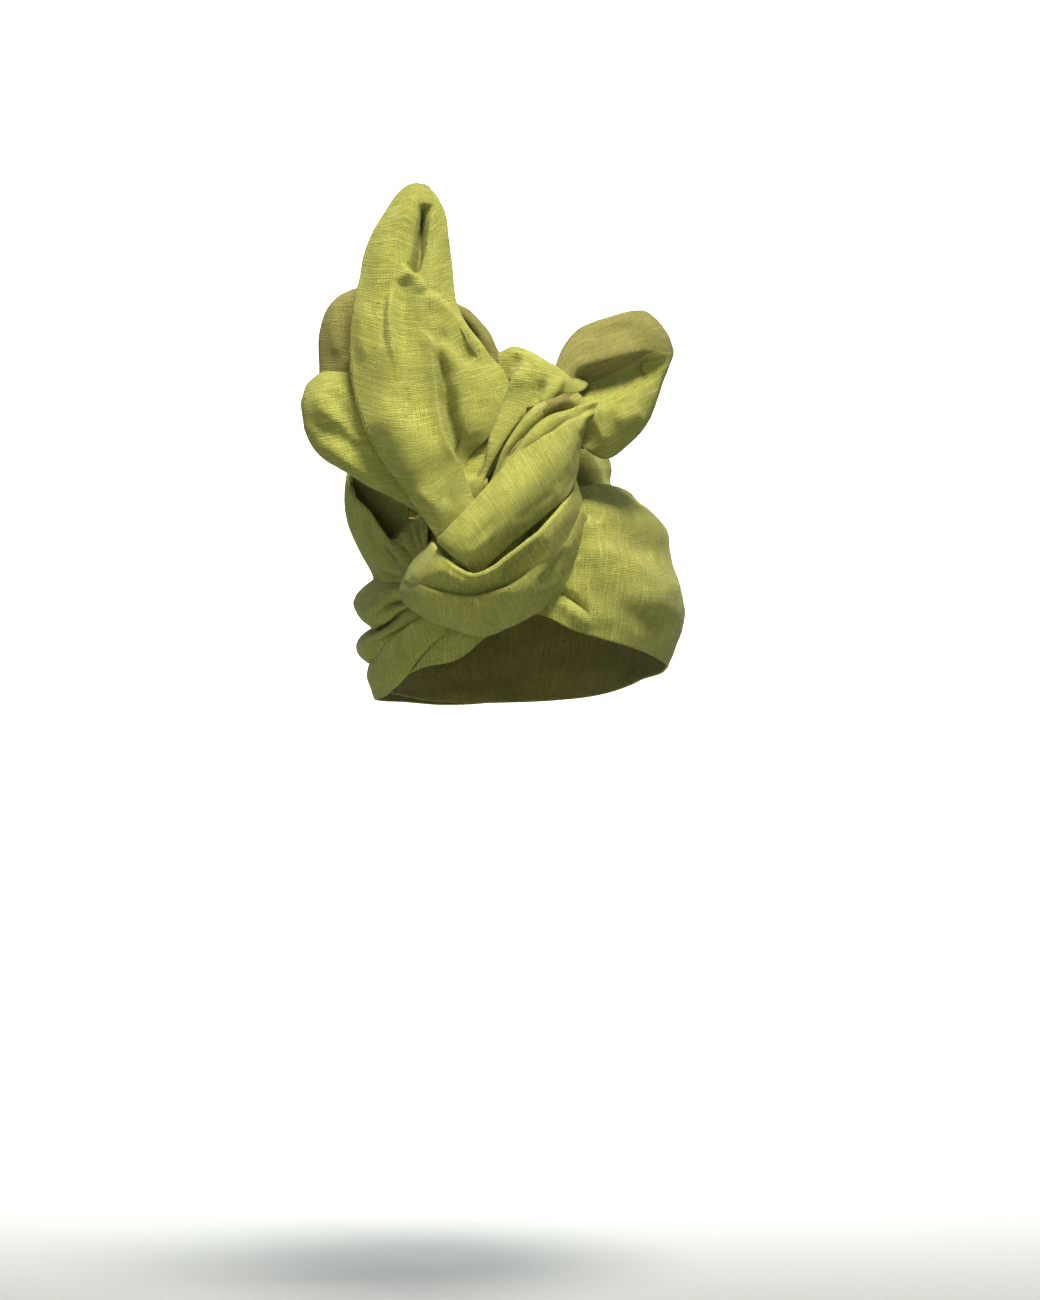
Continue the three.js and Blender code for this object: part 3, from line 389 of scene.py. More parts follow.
def make_cloth(name, grid, nodes=None, ring=False, painted_shade_mask=None, weft_up=False):
    """A mask of faces may be given; those faces take the darker, browner linen that paints shade on them,
    and weft_up turns the weave.
    """
    rows, columns = grid.shape[:2]
    wide = np.concatenate([grid, grid[:, :1]], 1) if ring else grid
    across, along = lengths(wide, 1), lengths(wide, 0)
    number = np.arange(rows * columns).reshape(rows, columns)
    number = np.concatenate([number, number[:, :1]], 1) if ring else number

    def corners(table):
        return np.stack([table[:-1, :-1], table[:-1, 1:], table[1:, 1:], table[1:, :-1]], -1)

    faces = corners(number).reshape(-1, 4)
    mesh = bpy.data.meshes.new(name + "_cloth")
    mesh.from_pydata(grid.reshape(-1, 3).tolist(), [], faces.tolist())
    weave = mesh.attributes.new("cloth", "FLOAT_VECTOR", "CORNER")
    first, second = (along, across) if weft_up else (across, along)
    places = np.stack([corners(first), corners(second), np.zeros_like(corners(first))], -1)
    weave.data.foreach_set("vector", places.astype(np.float32).ravel())
    mesh.polygons.foreach_set("use_smooth", [True] * len(faces))
    piece = bpy.data.objects.new(name + "_cloth", mesh)
    bpy.context.collection.objects.link(piece)
    mesh.materials.append(face_linen)
    mesh.materials.append(painted_shade_linen)
    if painted_shade_mask is not None:
        painted_shade_mask = np.concatenate([painted_shade_mask, painted_shade_mask[:, :1]], 1) if ring else painted_shade_mask
        painted_faces = corners(painted_shade_mask).mean(-1) > 0.5
        mesh.polygons.foreach_set("material_index", painted_faces.astype(np.int32).ravel())
    # the thickness's inner faces take the darker, browner linen, which paints shade on them
    shell = piece.modifiers.new("thickness", "SOLIDIFY")
    shell.thickness, shell.offset, shell.material_offset = CLOTH, -1, 1
    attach(piece, "root")
    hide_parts(*(nodes or (name,)))
    return piece


# %% [markdown]
# ## The band round the head
# The band is the strip's middle. It is smooth over the wearer's left temple, where it bellies out
# below its upper edge, and it lies closer on the other side, under the pleats.

# %% The band's sections
BAND_RISE, BAND_SWELL = 0.098, 0.010
REST = 0.0016  # how far cloth rests off what is below
BAND_TURNS = (-150, -100, -65, -44, -25, -13, 5, 18, 45, 75, 100, 150)
BAND = {
    "hem": (-0.21, -0.13, -0.09, 0.0, 0.06, 0.18, 0.3, 0.22, 0.12, 0.03, -0.01, -0.17),
    "top": (0.88, 0.86, 0.84, 0.82, 0.8, 0.8, 0.84, 0.96, 1.0, 1.01, 1.0, 0.96),
    "foot": (0, 0, 0, 0, 0, 0, 0, 0, 0, -0.1, -0.1, 0),
    "belly": (0.3, 0.1, 0.1, 0.1, 0.1, 0.1, 0.2, 0.4, 0.8, 1.1, 1.1, 0.6),
    "waist": (0.2, 0, 0, 0, 0, 0, 0.1, 0.3, 0.4, 0.2, 0, 0.3),
    "shoulder": (-0.4, -0.8, -0.4, -0.3, -0.3, -0.4, -0.4, -0.2, -0.3, -0.5, -0.5, -0.4),
    "lip": (-1.6, -2.2, -0.9, -0.6, -0.9, -1.5, -1.8, -2.0, -2.4, -2.5, -2.1, -1.6),
}
BAND_STATIONS = {"foot": 0.0, "belly": 0.3, "waist": 0.62, "shoulder": 0.85, "lip": 1.0}


def eased(ends, slopes, span, t):
    """A smooth value between two ends, which leaves and arrives at the given slopes."""
    rise = t * t * (3 - 2 * t)
    lean = t * (1 - t) * ((1 - t) * slopes[0] - t * slopes[1]) * span
    return ends[0] * (1 - rise) + ends[1] * rise + lean


def through(at, values, places, period=None):
    """Reads a smooth curve through values that stand at uneven places."""
    at, values, places = (np.asarray(a, float) for a in (at, values, places))
    if period:
        places = at[0] + (places - at[0]) % period
        at = np.concatenate([at[-2:] - period, at, at[:2] + period])
        values = np.concatenate([values[-2:], values, values[:2]])
    slope = np.gradient(values, at)
    i = np.clip(np.searchsorted(at, places, "right") - 1, 0, len(at) - 2)
    span = at[i + 1] - at[i]
    t = np.clip((places - at[i]) / span, 0, 1)
    return eased((values[i], values[i + 1]), (slope[i], slope[i + 1]), span, t)


def on_tube(turn, height, off):
    """Points round the head: a turn from the forehead to the left, a height and a distance off."""
    angle = np.radians(turn)
    across, back = np.sin(angle) / TUBE_X, -np.cos(angle) / TUBE_Y
    size = np.hypot(across, back)
    x = TUBE_X * np.sin(angle) + off * across / size
    y = -TUBE_Y * np.cos(angle) + off * back / size
    return np.stack(np.broadcast_arrays(x, y, height), -1)


def band_read(column, turn):
    return through(BAND_TURNS, BAND[column], turn, 360)


def band_off(turn, share):
    """How far the band's outer face stands off the tube at a share of its height."""
    stations = list(BAND_STATIONS.values())
    offs = np.stack([band_read(name, turn) for name in BAND_STATIONS])
    share = np.clip(share, 0, 1)
    slope = np.gradient(offs, stations, axis=0)
    i = np.clip(np.searchsorted(stations, share, "right") - 1, 0, len(stations) - 2)
    ends, slopes = ([np.take_along_axis(a, i[None] + k, 0)[0] for k in (0, 1)] for a in (offs, slope))
    at = np.asarray(stations)
    span = at[i + 1] - at[i]
    return eased(ends, slopes, span, (share - at[i]) / span) * BAND_SWELL + REST


def band_height(turn, share):
    return (band_read("hem", turn) * (1 - share) + band_read("top", turn) * share) * BAND_RISE


def over_band(turn, height, lift):
    """Points a distance above the band's outer face."""
    hem, top = band_read("hem", turn), band_read("top", turn)
    share = (height / BAND_RISE - hem) / (top - hem)
    return on_tube(turn, height, band_off(turn, share) + lift)


# %% The band
turn, share = np.meshgrid(np.arange(-180, 180, 0.9), np.linspace(0, 1, 80))
band = on_tube(turn, band_height(turn, share), band_off(turn, share))
FOREHEAD = 0.02  # folds given in the picture lie before this depth

BAND_FOLDS = [
    # the short deep dart beside the knot, and the tuck above it
    ([(554, 590), (566, 596), (579, 606), (592, 619)], -4.2, 5, 2.2, (0.1, 0.4)),
    ([(552, 600), (566, 606), (580, 617), (590, 628)], 2.2, 3, 8),
    ([(566, 520), (570, 540), (574, 562)], -4, 6, 5),
    # the fold along the panel's upper edge and the dent at the side
    ([(572, 493), (600, 490), (624, 494), (640, 505)], 3, 5, 9),
    ([(574, 516), (590, 512), (606, 520)], -3, 4, 6),
    ([(584, 520), (612, 528), (636, 542), (658, 560)], -2.2, 10, 16),
    # long soft folds that fan from the knot
    ([(572, 560), (610, 556), (650, 580), (684, 610)], 3, 16, 20),
    ([(580, 590), (610, 604), (650, 622), (680, 634)], -2.2, 14, 14),
]
band = folded(band, BAND_FOLDS, ring=True, ahead_of=FOREHEAD)
band = crumpled(band, 0.07, 0.0034, 1, ring=True, stretch=(1, 1, 1.6))
band = crumpled(band, 0.024, 0.0014, 2, ring=True, stretch=(1, 1, 2))
band = creased(band, 0.03, 0.002, 3, ring=True)
halves = ("head_band_right", "head_band_left")
make_cloth("head_band", band, halves, ring=True, weft_up=True)

# %% [markdown]
# ## The crown
# The cap over the top of the head comes up inside the band's lip, puffs out over it and closes in
# soft gathers. Cloth that covers a dome has too much width at the top, and the gathers take it up.

# %% The crown
CROWN_RISE, CROWN_SEAT, CROWN_GATHERS = 0.130, 0.86, 9
CROWN_AT = (0.25, 0.36, 0.5, 0.65, 0.8, 1)
CROWN_INWARD = (0.06, 0.15, 0.17, 0.23, 0.45, 1)
CROWN_UP = (-0.06, 0.16, 0.42, 0.7, 0.91, 1)


def band_point(turn, share):
    return on_tube(turn, band_height(turn, share), band_off(turn, share) - 0.0008)


def crown_point(turn, along):
    share = CROWN_SEAT + (1 - CROWN_SEAT) * np.minimum(along / 0.25, 1)
    point = band_point(turn, share)
    across = band_point(turn + 1, share) - point
    up = point - band_point(turn, share - 0.01)
    outward = np.cross(across, up)
    outward /= np.linalg.norm(outward, axis=-1, keepdims=True)
    seat = point - outward * 0.0028
    lip = band_point(turn, np.ones_like(turn))
    gather = 0.03 * np.sin(np.radians(CROWN_GATHERS * turn)) * smooth(0.38, 0.7, along)
    left = 1 - through(CROWN_AT, CROWN_INWARD, along) + gather * (1 - along)
    rise = lip[..., 2] + (CROWN_RISE - lip[..., 2]) * through(CROWN_AT, CROWN_UP, along)
    dome = np.stack([lip[..., 0] * left, lip[..., 1] * left, rise], -1)
    blend = smooth(0.18, 0.3, along)[..., None]
    return seat * (1 - blend) + dome * blend


turn, along = np.meshgrid(np.arange(-180, 180, 1.5), np.linspace(0, 0.9995, 80))
crown = crown_point(turn, along)
loose = smooth(0.25, 0.4, along)[..., None]
crumpled_crown = crushed(crown, (0.03, 0.004), (0.03, 0.003), 3, ring=True)
crown = crown * (1 - loose) + crumpled_crown * loose
make_cloth("crown", crown, ring=True, weft_up=True)

# %% [markdown]
# ## Pleats over the right temple
# The strip comes out of the knot bunched up and fans out towards the ear. Its lower edge lies flat
# and folded on the brow, and above it stand two full lobes, each one a pleat that laps over the
# one below. They get narrower towards the nape, where the picture shows nothing.

# %% Pleats
PLEAT_TURNS = (-190, -160, -125, -90, -65, -50, -36, -24)
UPPER_PLEAT = {
    "upper": (0.34, 0.43, 0.48, 0.5, 0.48, 0.47, 0.46, 0.46),
    "lower": (0.26, 0.2, 0.212, 0.237, 0.242, 0.312, 0.36, 0.4),
    "under": (0, 0.8, 1.2, 1.2, 1.2, 1.2, 0.6, 0.3),
    "swell": (0, 0.3, 0.75, 0.95, 0.75, 0.4, 0.1, 0),
}
LOWER_PLEAT = {
    "upper": (0.13, 0.19, 0.22, 0.245, 0.25, 0.32, 0.36, 0.4),
    "lower": (0.03, -0.05, -0.012, 0.022, 0.082, 0.2, 0.29, 0.33),
    "swell": (0, 0.3, 0.75, 0.95, 0.75, 0.35, 0.1, 0),
}
BROW_STRIP = {
    "upper": (-0.1, -0.06, -0.004, 0.03, 0.09, 0.2, 0.29, 0.34),
    "lower": (-0.16, -0.22, -0.21, -0.18, -0.15, -0.05, 0.13, 0.24),
    "over": (0, 0.8, 1.2, 1.2, 1.2, 1.2, 1.2, 0.8),
    "swell": (0, 0.05, 0.15, 0.15, 0.15, 0.1, 0.05, 0),
}
LAYER = 0.002  # one pleat's height over the next


def strip_on_band(table, turns=200, shares=48):
    """A pleat on the band, from its lower edge to its upper one."""
    turn, share = np.meshgrid(np.linspace(PLEAT_TURNS[0], PLEAT_TURNS[-1], turns), np.linspace(0, 1, shares))
    read = {name: through(PLEAT_TURNS, values, turn) for name, values in table.items()}
    height = (read["lower"] * (1 - share) + read["upper"] * share) * BAND_RISE
    layers = read.get("under", 0) * (1 - share) + read.get("over", 0) * share
    full = np.clip(1 - (2 * share - 1) ** 2, 0, 1)
    return over_band(turn, height, REST + layers * LAYER + read["swell"] * BAND_SWELL * full)


def pleated(grid, rows, seed):
    grid = folded(grid, rows, ahead_of=FOREHEAD)
    grid = crumpled(grid, 0.035, 0.0028, seed, stretch=(0.6, 0.6, 2.2))
    return creased(grid, 0.02, 0.0022, seed, stretch=(0.6, 0.6, 2.0))


UPPER_PLEAT_FOLDS = [
    # the hollow under the lobe's rim, then its dark inner patch
    ([(422, 602), (406, 600), (390, 604), (376, 614)], -7, 7, 3, (0.05, 0.3)),
    ([(422, 616), (410, 612), (396, 617), (382, 625)], -5, 5, 3, (0.05, 0.3)),
    ([(414, 594), (396, 592), (376, 598)], 2.5, 7, 5),
    ([(400, 612), (384, 618), (370, 628)], 2, 5, 5),
]
LOWER_PLEAT_FOLDS = [
    ([(432, 626), (408, 632), (386, 640), (364, 648)], -2.5, 6, 3),
    ([(436, 632), (414, 642), (394, 654), (372, 664)], 2, 5, 5),
    ([(420, 644), (404, 656), (386, 668)], -1.8, 4, 4),
]
BROW_STRIP_FOLDS = [
    ([(452, 640), (428, 662), (406, 684), (386, 698)], -2.2, 3, 6),
    ([(436, 644), (414, 662), (392, 676), (378, 684)], 1.6, 7, 7),
]
for name, table, folds, seed in (
    ("side_pleat_upper", UPPER_PLEAT, UPPER_PLEAT_FOLDS, 11),
    ("side_pleat_lower", LOWER_PLEAT, LOWER_PLEAT_FOLDS, 13),
    ("brow_strip", BROW_STRIP, BROW_STRIP_FOLDS, 15),
):
    make_cloth(name, pleated(strip_on_band(table), folds, seed), weft_up=True)

# %% [markdown]
# ## The open pocket
# Above the pleats the wrap leans away from the head and makes a scoop. Its lip is a wide folded
# edge that turns back inwards, and it closes on the band at the back.

# %% The pocket
POCKET_RISE, POCKET_FLARE = 0.110, 0.020
POCKET_TURNS = (-216, -190, -160, -130, -105, -88, -70, -55, -42, -30)
UPPER_WRAP = {
    "foot": (0.3, 0.33, 0.36, 0.4, 0.43, 0.44, 0.43, 0.42, 0.41, 0.41),
    "lip": (0.6, 0.78, 0.95, 1.01, 1.01, 1.0, 0.84, 0.63, 0.48, 0.44),
    "grip": (0, 0.1, 0.2, 0.2, 0.1, 0.06, 0.12, 0.24, 0.34, 0.36),
    "belly": (0, 0.1, 0.2, 0.3, 0.7, 1.1, 0.9, 0.6, 0.4, 0.38),
    "flare": (0, -0.3, -0.4, -0.5, 0.1, 0.95, 0.9, 0.5, 0.4, 0.38),
}
turn, share = np.meshgrid(np.linspace(POCKET_TURNS[0], POCKET_TURNS[-1], 220), np.linspace(0, 1, 60))
read = {name: through(POCKET_TURNS, values, turn) for name, values in UPPER_WRAP.items()}
height = (read["foot"] * (1 - share) + read["lip"] * share) * POCKET_RISE
lean = read["grip"] * (1 - share) ** 2 + 2 * read["belly"] * share * (1 - share) + read["flare"] * share**2
hem, top = band_read("hem", turn), band_read("top", turn)
resting = band_off(turn, (height / BAND_RISE - hem) / (top - hem)) + REST
off = (lean * POCKET_FLARE + resting + np.hypot(lean * POCKET_FLARE - resting, 0.0016)) / 2
pocket = on_tube(turn, height, off)
POCKET_FOLDS = [
    ([(412, 578), (392, 562), (376, 546), (362, 520), (356, 492)], -3, 6, 8),
    ([(414, 584), (396, 580), (376, 574)], -3, 4, 5),
]
pocket = folded(pocket, POCKET_FOLDS, ahead_of=FOREHEAD)
pocket = crushed(pocket, (0.035, 0.003), (0.02, 0.002), 17)
rim = 0.0010 + 0.0026 * smooth(-150, -100, turn[0]) * (1 - smooth(-62, -40, turn[0]))
pocket = rolled(pocket, rim, 0.007, "tip")
make_cloth("upper_wrap", pocket, weft_up=True)

# %% [markdown]
# ## The knot
# Three turns of the strip show on the knot. The lowest goes round its foot, the middle one shows
# only as a rolled edge, and the widest crosses over both from the upper right and tucks in at the
# left. Each is a sheet through rows of places in the picture, with its edges turned under.

# %% The knot's turns
KNOT_TOP = [
    [(606, 401, -10), (605, 405, -6), (602, 410, -8), (598, 415, -14)],
    [(592, 404, 14), (592, 411, 18), (591, 419, 14), (588, 427, 2)],
    [(574, 409, 34), (579, 419, 40), (582, 432, 34), (581, 448, 12)],
    [(556, 416, 46), (565, 430, 55), (573, 450, 50), (578, 476, 24)],
    [(538, 431, 54), (548, 449, 65), (558, 471, 61), (567, 496, 40)],
    [(518, 452, 62), (528, 471, 74), (538, 491, 71), (548, 513, 52)],
    [(498, 474, 70), (508, 491, 81), (519, 509, 79), (530, 529, 60)],
    [(478, 497, 76), (488, 512, 86), (500, 528, 85), (511, 545, 66)],
    [(458, 519, 79), (469, 532, 88), (480, 546, 87), (493, 561, 68)],
    [(445, 533, 76), (456, 545, 83), (468, 558, 82), (481, 572, 64)],
    [(438, 541, 66), (449, 553, 72), (461, 565, 71), (473, 576, 58)],
    [(441, 545, 50), (451, 554, 52), (461, 564, 51), (470, 572, 44)],
]
KNOT_MIDDLE = [
    [(430, 541, 10), (421, 552, 6), (411, 565, 0), (404, 577, -10)],
    [(431, 545, 36), (424, 557, 36), (415, 570, 28), (408, 581, 14)],
    [(436, 552, 58), (430, 564, 58), (423, 576, 50), (416, 586, 34)],
    [(444, 561, 72), (440, 571, 70), (435, 582, 60), (430, 592, 44)],
    [(457, 571, 80), (455, 580, 74), (453, 589, 62), (451, 598, 48)],
    [(475, 578, 84), (475, 586, 76), (475, 593, 64), (475, 601, 50)],
    [(495, 571, 84), (498, 579, 74), (501, 587, 62), (504, 595, 48)],
    [(515, 556, 82), (520, 564, 72), (525, 572, 60), (530, 580, 46)],
    [(535, 540, 76), (541, 548, 68), (547, 556, 56), (552, 563, 40)],
    [(555, 520, 62), (559, 527, 56), (563, 534, 44), (567, 540, 28)],
    [(570, 500, 36), (573, 506, 32), (576, 512, 24), (578, 518, 12)],
    [(577, 480, 2), (579, 486, 2), (581, 492, -2), (583, 498, -8)],
]
KNOT_LOWER = [
    [(404, 577, -20), (401, 584, -24), (400, 592, -34), (402, 600, -48)],
    [(409, 579, 6), (405, 589, 4), (404, 598, -6), (408, 606, -20)],
    [(418, 584, 34), (414, 596, 28), (414, 606, 16), (419, 614, -2)],
    [(430, 591, 52), (428, 604, 44), (430, 616, 28), (435, 624, 8)],
    [(444, 597, 61), (445, 610, 51), (448, 623, 34), (453, 631, 14)],
    [(460, 600, 66), (462, 613, 55), (466, 627, 38), (471, 636, 17)],
    [(478, 600, 68), (482, 612, 56), (487, 625, 38), (492, 634, 18)],
    [(503, 591, 66), (509, 602, 54), (515, 613, 35), (521, 622, 14)],
    [(530, 575, 58), (535, 585, 48), (540, 596, 30), (545, 606, 6)],
    [(552, 553, 46), (557, 562, 38), (562, 574, 20), (566, 586, -2)],
    [(566, 527, 24), (572, 536, 22), (577, 547, 8), (582, 556, -12)],
    [(574, 502, 0), (580, 509, 0), (586, 516, -8), (592, 522, -22)],
]


def facing(grid):
    """Turns a grid round if its outer face looks away from the camera."""
    return grid if normals_of(grid)[..., 1].mean() < 0 else grid[:, ::-1]


def both_under(grid, radius, right, left):
    """Turns both long edges under, by the given widths."""
    return rolled(rolled(grid, radius, right, "right"), radius, left, "left")


KNOT_TOP_FOLDS = [
    ([(604, 405), (584, 412), (560, 422), (540, 438)], -2.2, 3, 4),
    ([(596, 410), (584, 418), (578, 436)], 1.6, 4, 4),
    ([(566, 444), (544, 470), (516, 496), (486, 524)], 1, 12, 12),
    ([(572, 484), (546, 500), (520, 520), (496, 546)], 1, 8, 8),
    ([(556, 490), (536, 506), (514, 524)], -1, 5, 5),
    ([(496, 520), (480, 536), (466, 550)], -1, 5, 5),
]
knot_top = folded(facing(loft(KNOT_TOP, 60, 120)), KNOT_TOP_FOLDS)
knot_top = crushed(knot_top, (0.03, 0.0018), (0.02, 0.0014), 21)
knot_top = both_under(knot_top, 0.0012, 0.008, 0.009)
make_cloth("knot_top_wrap", knot_top)

KNOT_MIDDLE_FOLDS = [
    ([(436, 574), (454, 586), (474, 589), (500, 582)], -1.6, 5, 6),
    ([(502, 580), (526, 564), (548, 540)], -4, 7, 7),
    ([(446, 572), (458, 578), (472, 584)], 1, 3, 3),
]
knot_middle = folded(facing(loft(KNOT_MIDDLE, 44, 120)), KNOT_MIDDLE_FOLDS)
knot_middle = crushed(knot_middle, (0.02, 0.0014), (0.016, 0.0014), 23)
knot_middle = both_under(knot_middle, 0.0016, 0.005, 0.005)
make_cloth("knot_middle_wrap", knot_middle)

KNOT_LOWER_FOLDS = [
    ([(424, 602), (452, 614), (490, 614), (530, 594), (560, 568)], 1.2, 8, 8),
    ([(536, 590), (554, 568), (567, 544)], -2.2, 6, 7),
    ([(428, 614), (446, 624), (470, 629), (492, 626)], -1.6, 4, 5),
    ([(496, 596), (518, 588), (536, 576), (552, 560)], 1.2, 5, 6),
    ([(412, 590), (420, 602), (436, 612)], -1.4, 4, 4),
]
knot_lower = folded(facing(loft(KNOT_LOWER, 54, 120)), KNOT_LOWER_FOLDS)
knot_lower = crushed(knot_lower, (0.022, 0.0018), (0.018, 0.0018), 25)
knot_lower = both_under(knot_lower, 0.0016, 0.006, 0.006)
make_cloth("knot_lower_wrap", knot_lower)

# %% [markdown]
# ## The tall leaf
# One end of the strip stands up from the knot as a tall leaf. A fold runs down its middle from a
# sharp dark hollow. Beside its tip is a slit, where the cloth turns in round the wire. What comes
# back down behind it is the return, painted in shade with the darker, browner linen.

# %% The leaf's front
LEAF_FRONT = [
    [(452, 556, 36), (460, 548, 44), (468, 537, 48), (475, 526, 46), (482, 515, 40)],
    [(436, 535, 36), (447, 529, 46), (457, 519, 50), (467, 509, 48), (476, 498, 38)],
    [(420, 513, 30), (434, 509, 44), (447, 501, 48), (460, 492, 46), (472, 481, 32)],
    [(404, 489, 20), (422, 486, 39), (440, 480, 45), (458, 472, 43), (475, 460, 30)],
    [(386, 464, 12), (410, 464, 34), (436, 458, 41), (461, 450, 41), (487, 438, 28)],
    [(371, 437, 6), (402, 440, 31), (435, 437, 37), (468, 428, 39), (500, 414, 24)],
    [(358, 408, 2), (394, 413, 29), (432, 412, 34), (470, 405, 36), (509, 392, 20)],
    [(351, 378, -1), (388, 387, 26), (426, 386, 30), (464, 381, 32), (502, 370, 17)],
    [(350, 350, -3), (383, 361, 24), (417, 362, 27), (452, 358, 29), (485, 352, 12)],
    [(352, 325, -5), (381, 335, 19), (411, 338, 22), (441, 337, 24), (469, 329, 6)],
    [(356, 300, -8), (380, 307, 13), (408, 311, 17), (433, 312, 18), (457, 307, 0)],
    [(361, 278, -11), (381, 284, 8), (406, 288, 11), (431, 290, 12), (453, 289, -6)],
    [(365, 254, -14), (383, 259, 4), (406, 263, 6), (432, 265, 5), (451, 263, -10)],
    [(373, 231, -17), (389, 235, 0), (408, 238, 2), (430, 240, 0), (448, 239, -13)],
    [(384, 212, -20), (397, 214, -5), (413, 216, -2), (430, 218, -4), (445, 217, -16)],
    [(396, 195, -23), (405, 198, -12), (417, 200, -8), (429, 202, -9), (440, 203, -19)],
    [(407, 186, -25), (414, 188, -18), (422, 190, -15), (429, 192, -16), (435, 194, -22)],
    [(417, 183, -27), (420, 184, -25), (423, 184, -24), (426, 185, -24), (429, 187, -26)],
]
LEAF_FOLDS = [
    # the slit beside the tip, and the small lip where it ends
    ([(430, 203), (427, 218), (424, 237), (420, 256), (414, 274)], -15, 2.6, 6, (0.12, 0.08), 1.6),
    ([(404, 268), (412, 273), (420, 282), (426, 294)], 2.2, 3, 8),
    # the two thin folds that come down from the slit, and the soft valley between them
    ([(391, 276), (385, 298), (382, 326), (383, 352)], -1.8, 3.5, 4),
    ([(390, 284), (390, 312), (392, 342), (397, 372)], 2.2, 4, 4),
    ([(401, 274), (402, 302), (403, 334), (406, 368)], -3.4, 8, 5, (0.15, 0.4)),
    # the sharp hollow in the middle: a step down from its left bank, which runs out at the knot
    ([(435, 344), (438, 362), (441, 384), (443, 404), (447, 426), (455, 447), (467, 468), (472, 492)],
     -11, 13, 2, (0.24, 0.3), 1.5),
    ([(440, 384), (444, 408), (452, 434), (466, 460), (474, 488)], -6, 13, 2.5, (0.3, 0.3), 1.5),
    ([(414, 330), (426, 335), (434, 346), (437, 368), (440, 394), (445, 424), (454, 446), (466, 466)],
     3.2, 2.5, 10, (0.25, 0.2)),
    # the ridge that crosses to the right of it, with the soft valley below
    ([(424, 290), (436, 302), (456, 322), (476, 344), (496, 366)], 3.2, 5, 7),
    ([(432, 326), (448, 338), (464, 352), (480, 370)], -2.8, 6, 7),
    # the tip
    ([(414, 214), (408, 232), (403, 252), (398, 272)], -1.6, 7, 9, (0.4, 0.4)),
    ([(366, 300), (362, 330), (364, 362)], 1.5, 7, 7),
    # slack below the broad lit part
    ([(366, 404), (396, 424), (424, 444), (446, 470)], 4.2, 18, 24),
    ([(410, 488), (436, 504), (458, 514)], 1.2, 8, 9),
]
leaf = folded(facing(loft(LEAF_FRONT, 120, 250)), LEAF_FOLDS)
leaf = crushed(leaf, (0.034, 0.0014), (0.018, 0.0012), 31)
leaf_front = leaf
leaf = rolled(leaf, 0.0012, 0.007, "left")
leaf = rolled(leaf, 0.0014, 0.006, "right")
make_cloth("leaf_front", leaf)

# %% [markdown]
# ## Stitches in the hem
# A row of machine stitches holds the hem round the wire on the leaf's outer edge. Each stitch is a
# tiny bar that lies on the cloth. A bump in the material would vanish at this size.

# %% The stitches
HEM_LINE = [(351, 330), (351, 353), (356, 392), (367, 425), (383, 462), (403, 492), (430, 523)]
STITCH_STEP, STITCH, THREAD = 0.0024, 0.0016, 0.00045
BAR = ((0, 4, 6, 2), (2, 6, 7, 3), (3, 7, 5, 1), (0, 2, 3, 1), (4, 5, 7, 6))  # without its foot


def stitched(name, grid, line):
    """A row of stitches on a grid of cloth, along a line given in the picture."""
    places, normal = pictured(grid).reshape(-1, 2), normals_of(grid).reshape(-1, 3)
    flat = grid.reshape(-1, 3)
    nearest = [int(np.argmin(((places - p) ** 2).sum(1))) for p in curve_through(line, 400)]
    path, up = flat[nearest], normal[nearest]
    run = np.concatenate([[0], np.cumsum(np.linalg.norm(np.diff(path, axis=0), axis=1))])
    points, faces = [], []
    for at in np.arange(0, run[-1] - STITCH, STITCH_STEP):
        ends = [np.array([np.interp(a, run, path[:, k]) for k in range(3)]) for a in (at, at + STITCH)]
        rise = up[np.searchsorted(run, at)]
        side = np.cross(ends[1] - ends[0], rise)
        side *= THREAD / 2 / max(np.linalg.norm(side), 1e-9)
        first = len(points)
        for end in ends:
            top = end + rise * THREAD
            points += [end + side, end - side, top + side * 0.5, top - side * 0.5]
        faces += [[first + k for k in face] for face in BAR]
    mesh = bpy.data.meshes.new(name)
    mesh.from_pydata([p.tolist() for p in points], [], faces)
    mesh.materials.append(thread)
    row = bpy.data.objects.new(name, mesh)
    bpy.context.collection.objects.link(row)
    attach(row, "root")
    print(name, "stitches", len(faces) // len(BAR))


thread = bpy.data.materials.new("stitch_thread")
thread.use_nodes = True
tint = Wire(thread.node_tree, None).node("RGB")
tint.socket.default_value = (0.19, 0.16, 0.045, 1)
speckle = tint.node("TexNoise", Scale=900.0, Detail=2.0).between(0.4, 0.6)
tint = tint.mixed(speckle * 0.5, (0.10, 0.09, 0.03, 1))
surface = thread.node_tree.nodes["Principled BSDF"].inputs
thread.node_tree.links.new(tint.socket, surface["Base Color"])
surface["Roughness"].default_value = 0.8
stitched("leaf_stitches", leaf_front, HEM_LINE)

# %% [markdown]
# ## The leaf's return
# Behind the slit the cloth comes back down, loose and nearly flat. It is one more sheet through
# rows of places, and all of it is painted in shade with the darker, browner linen.

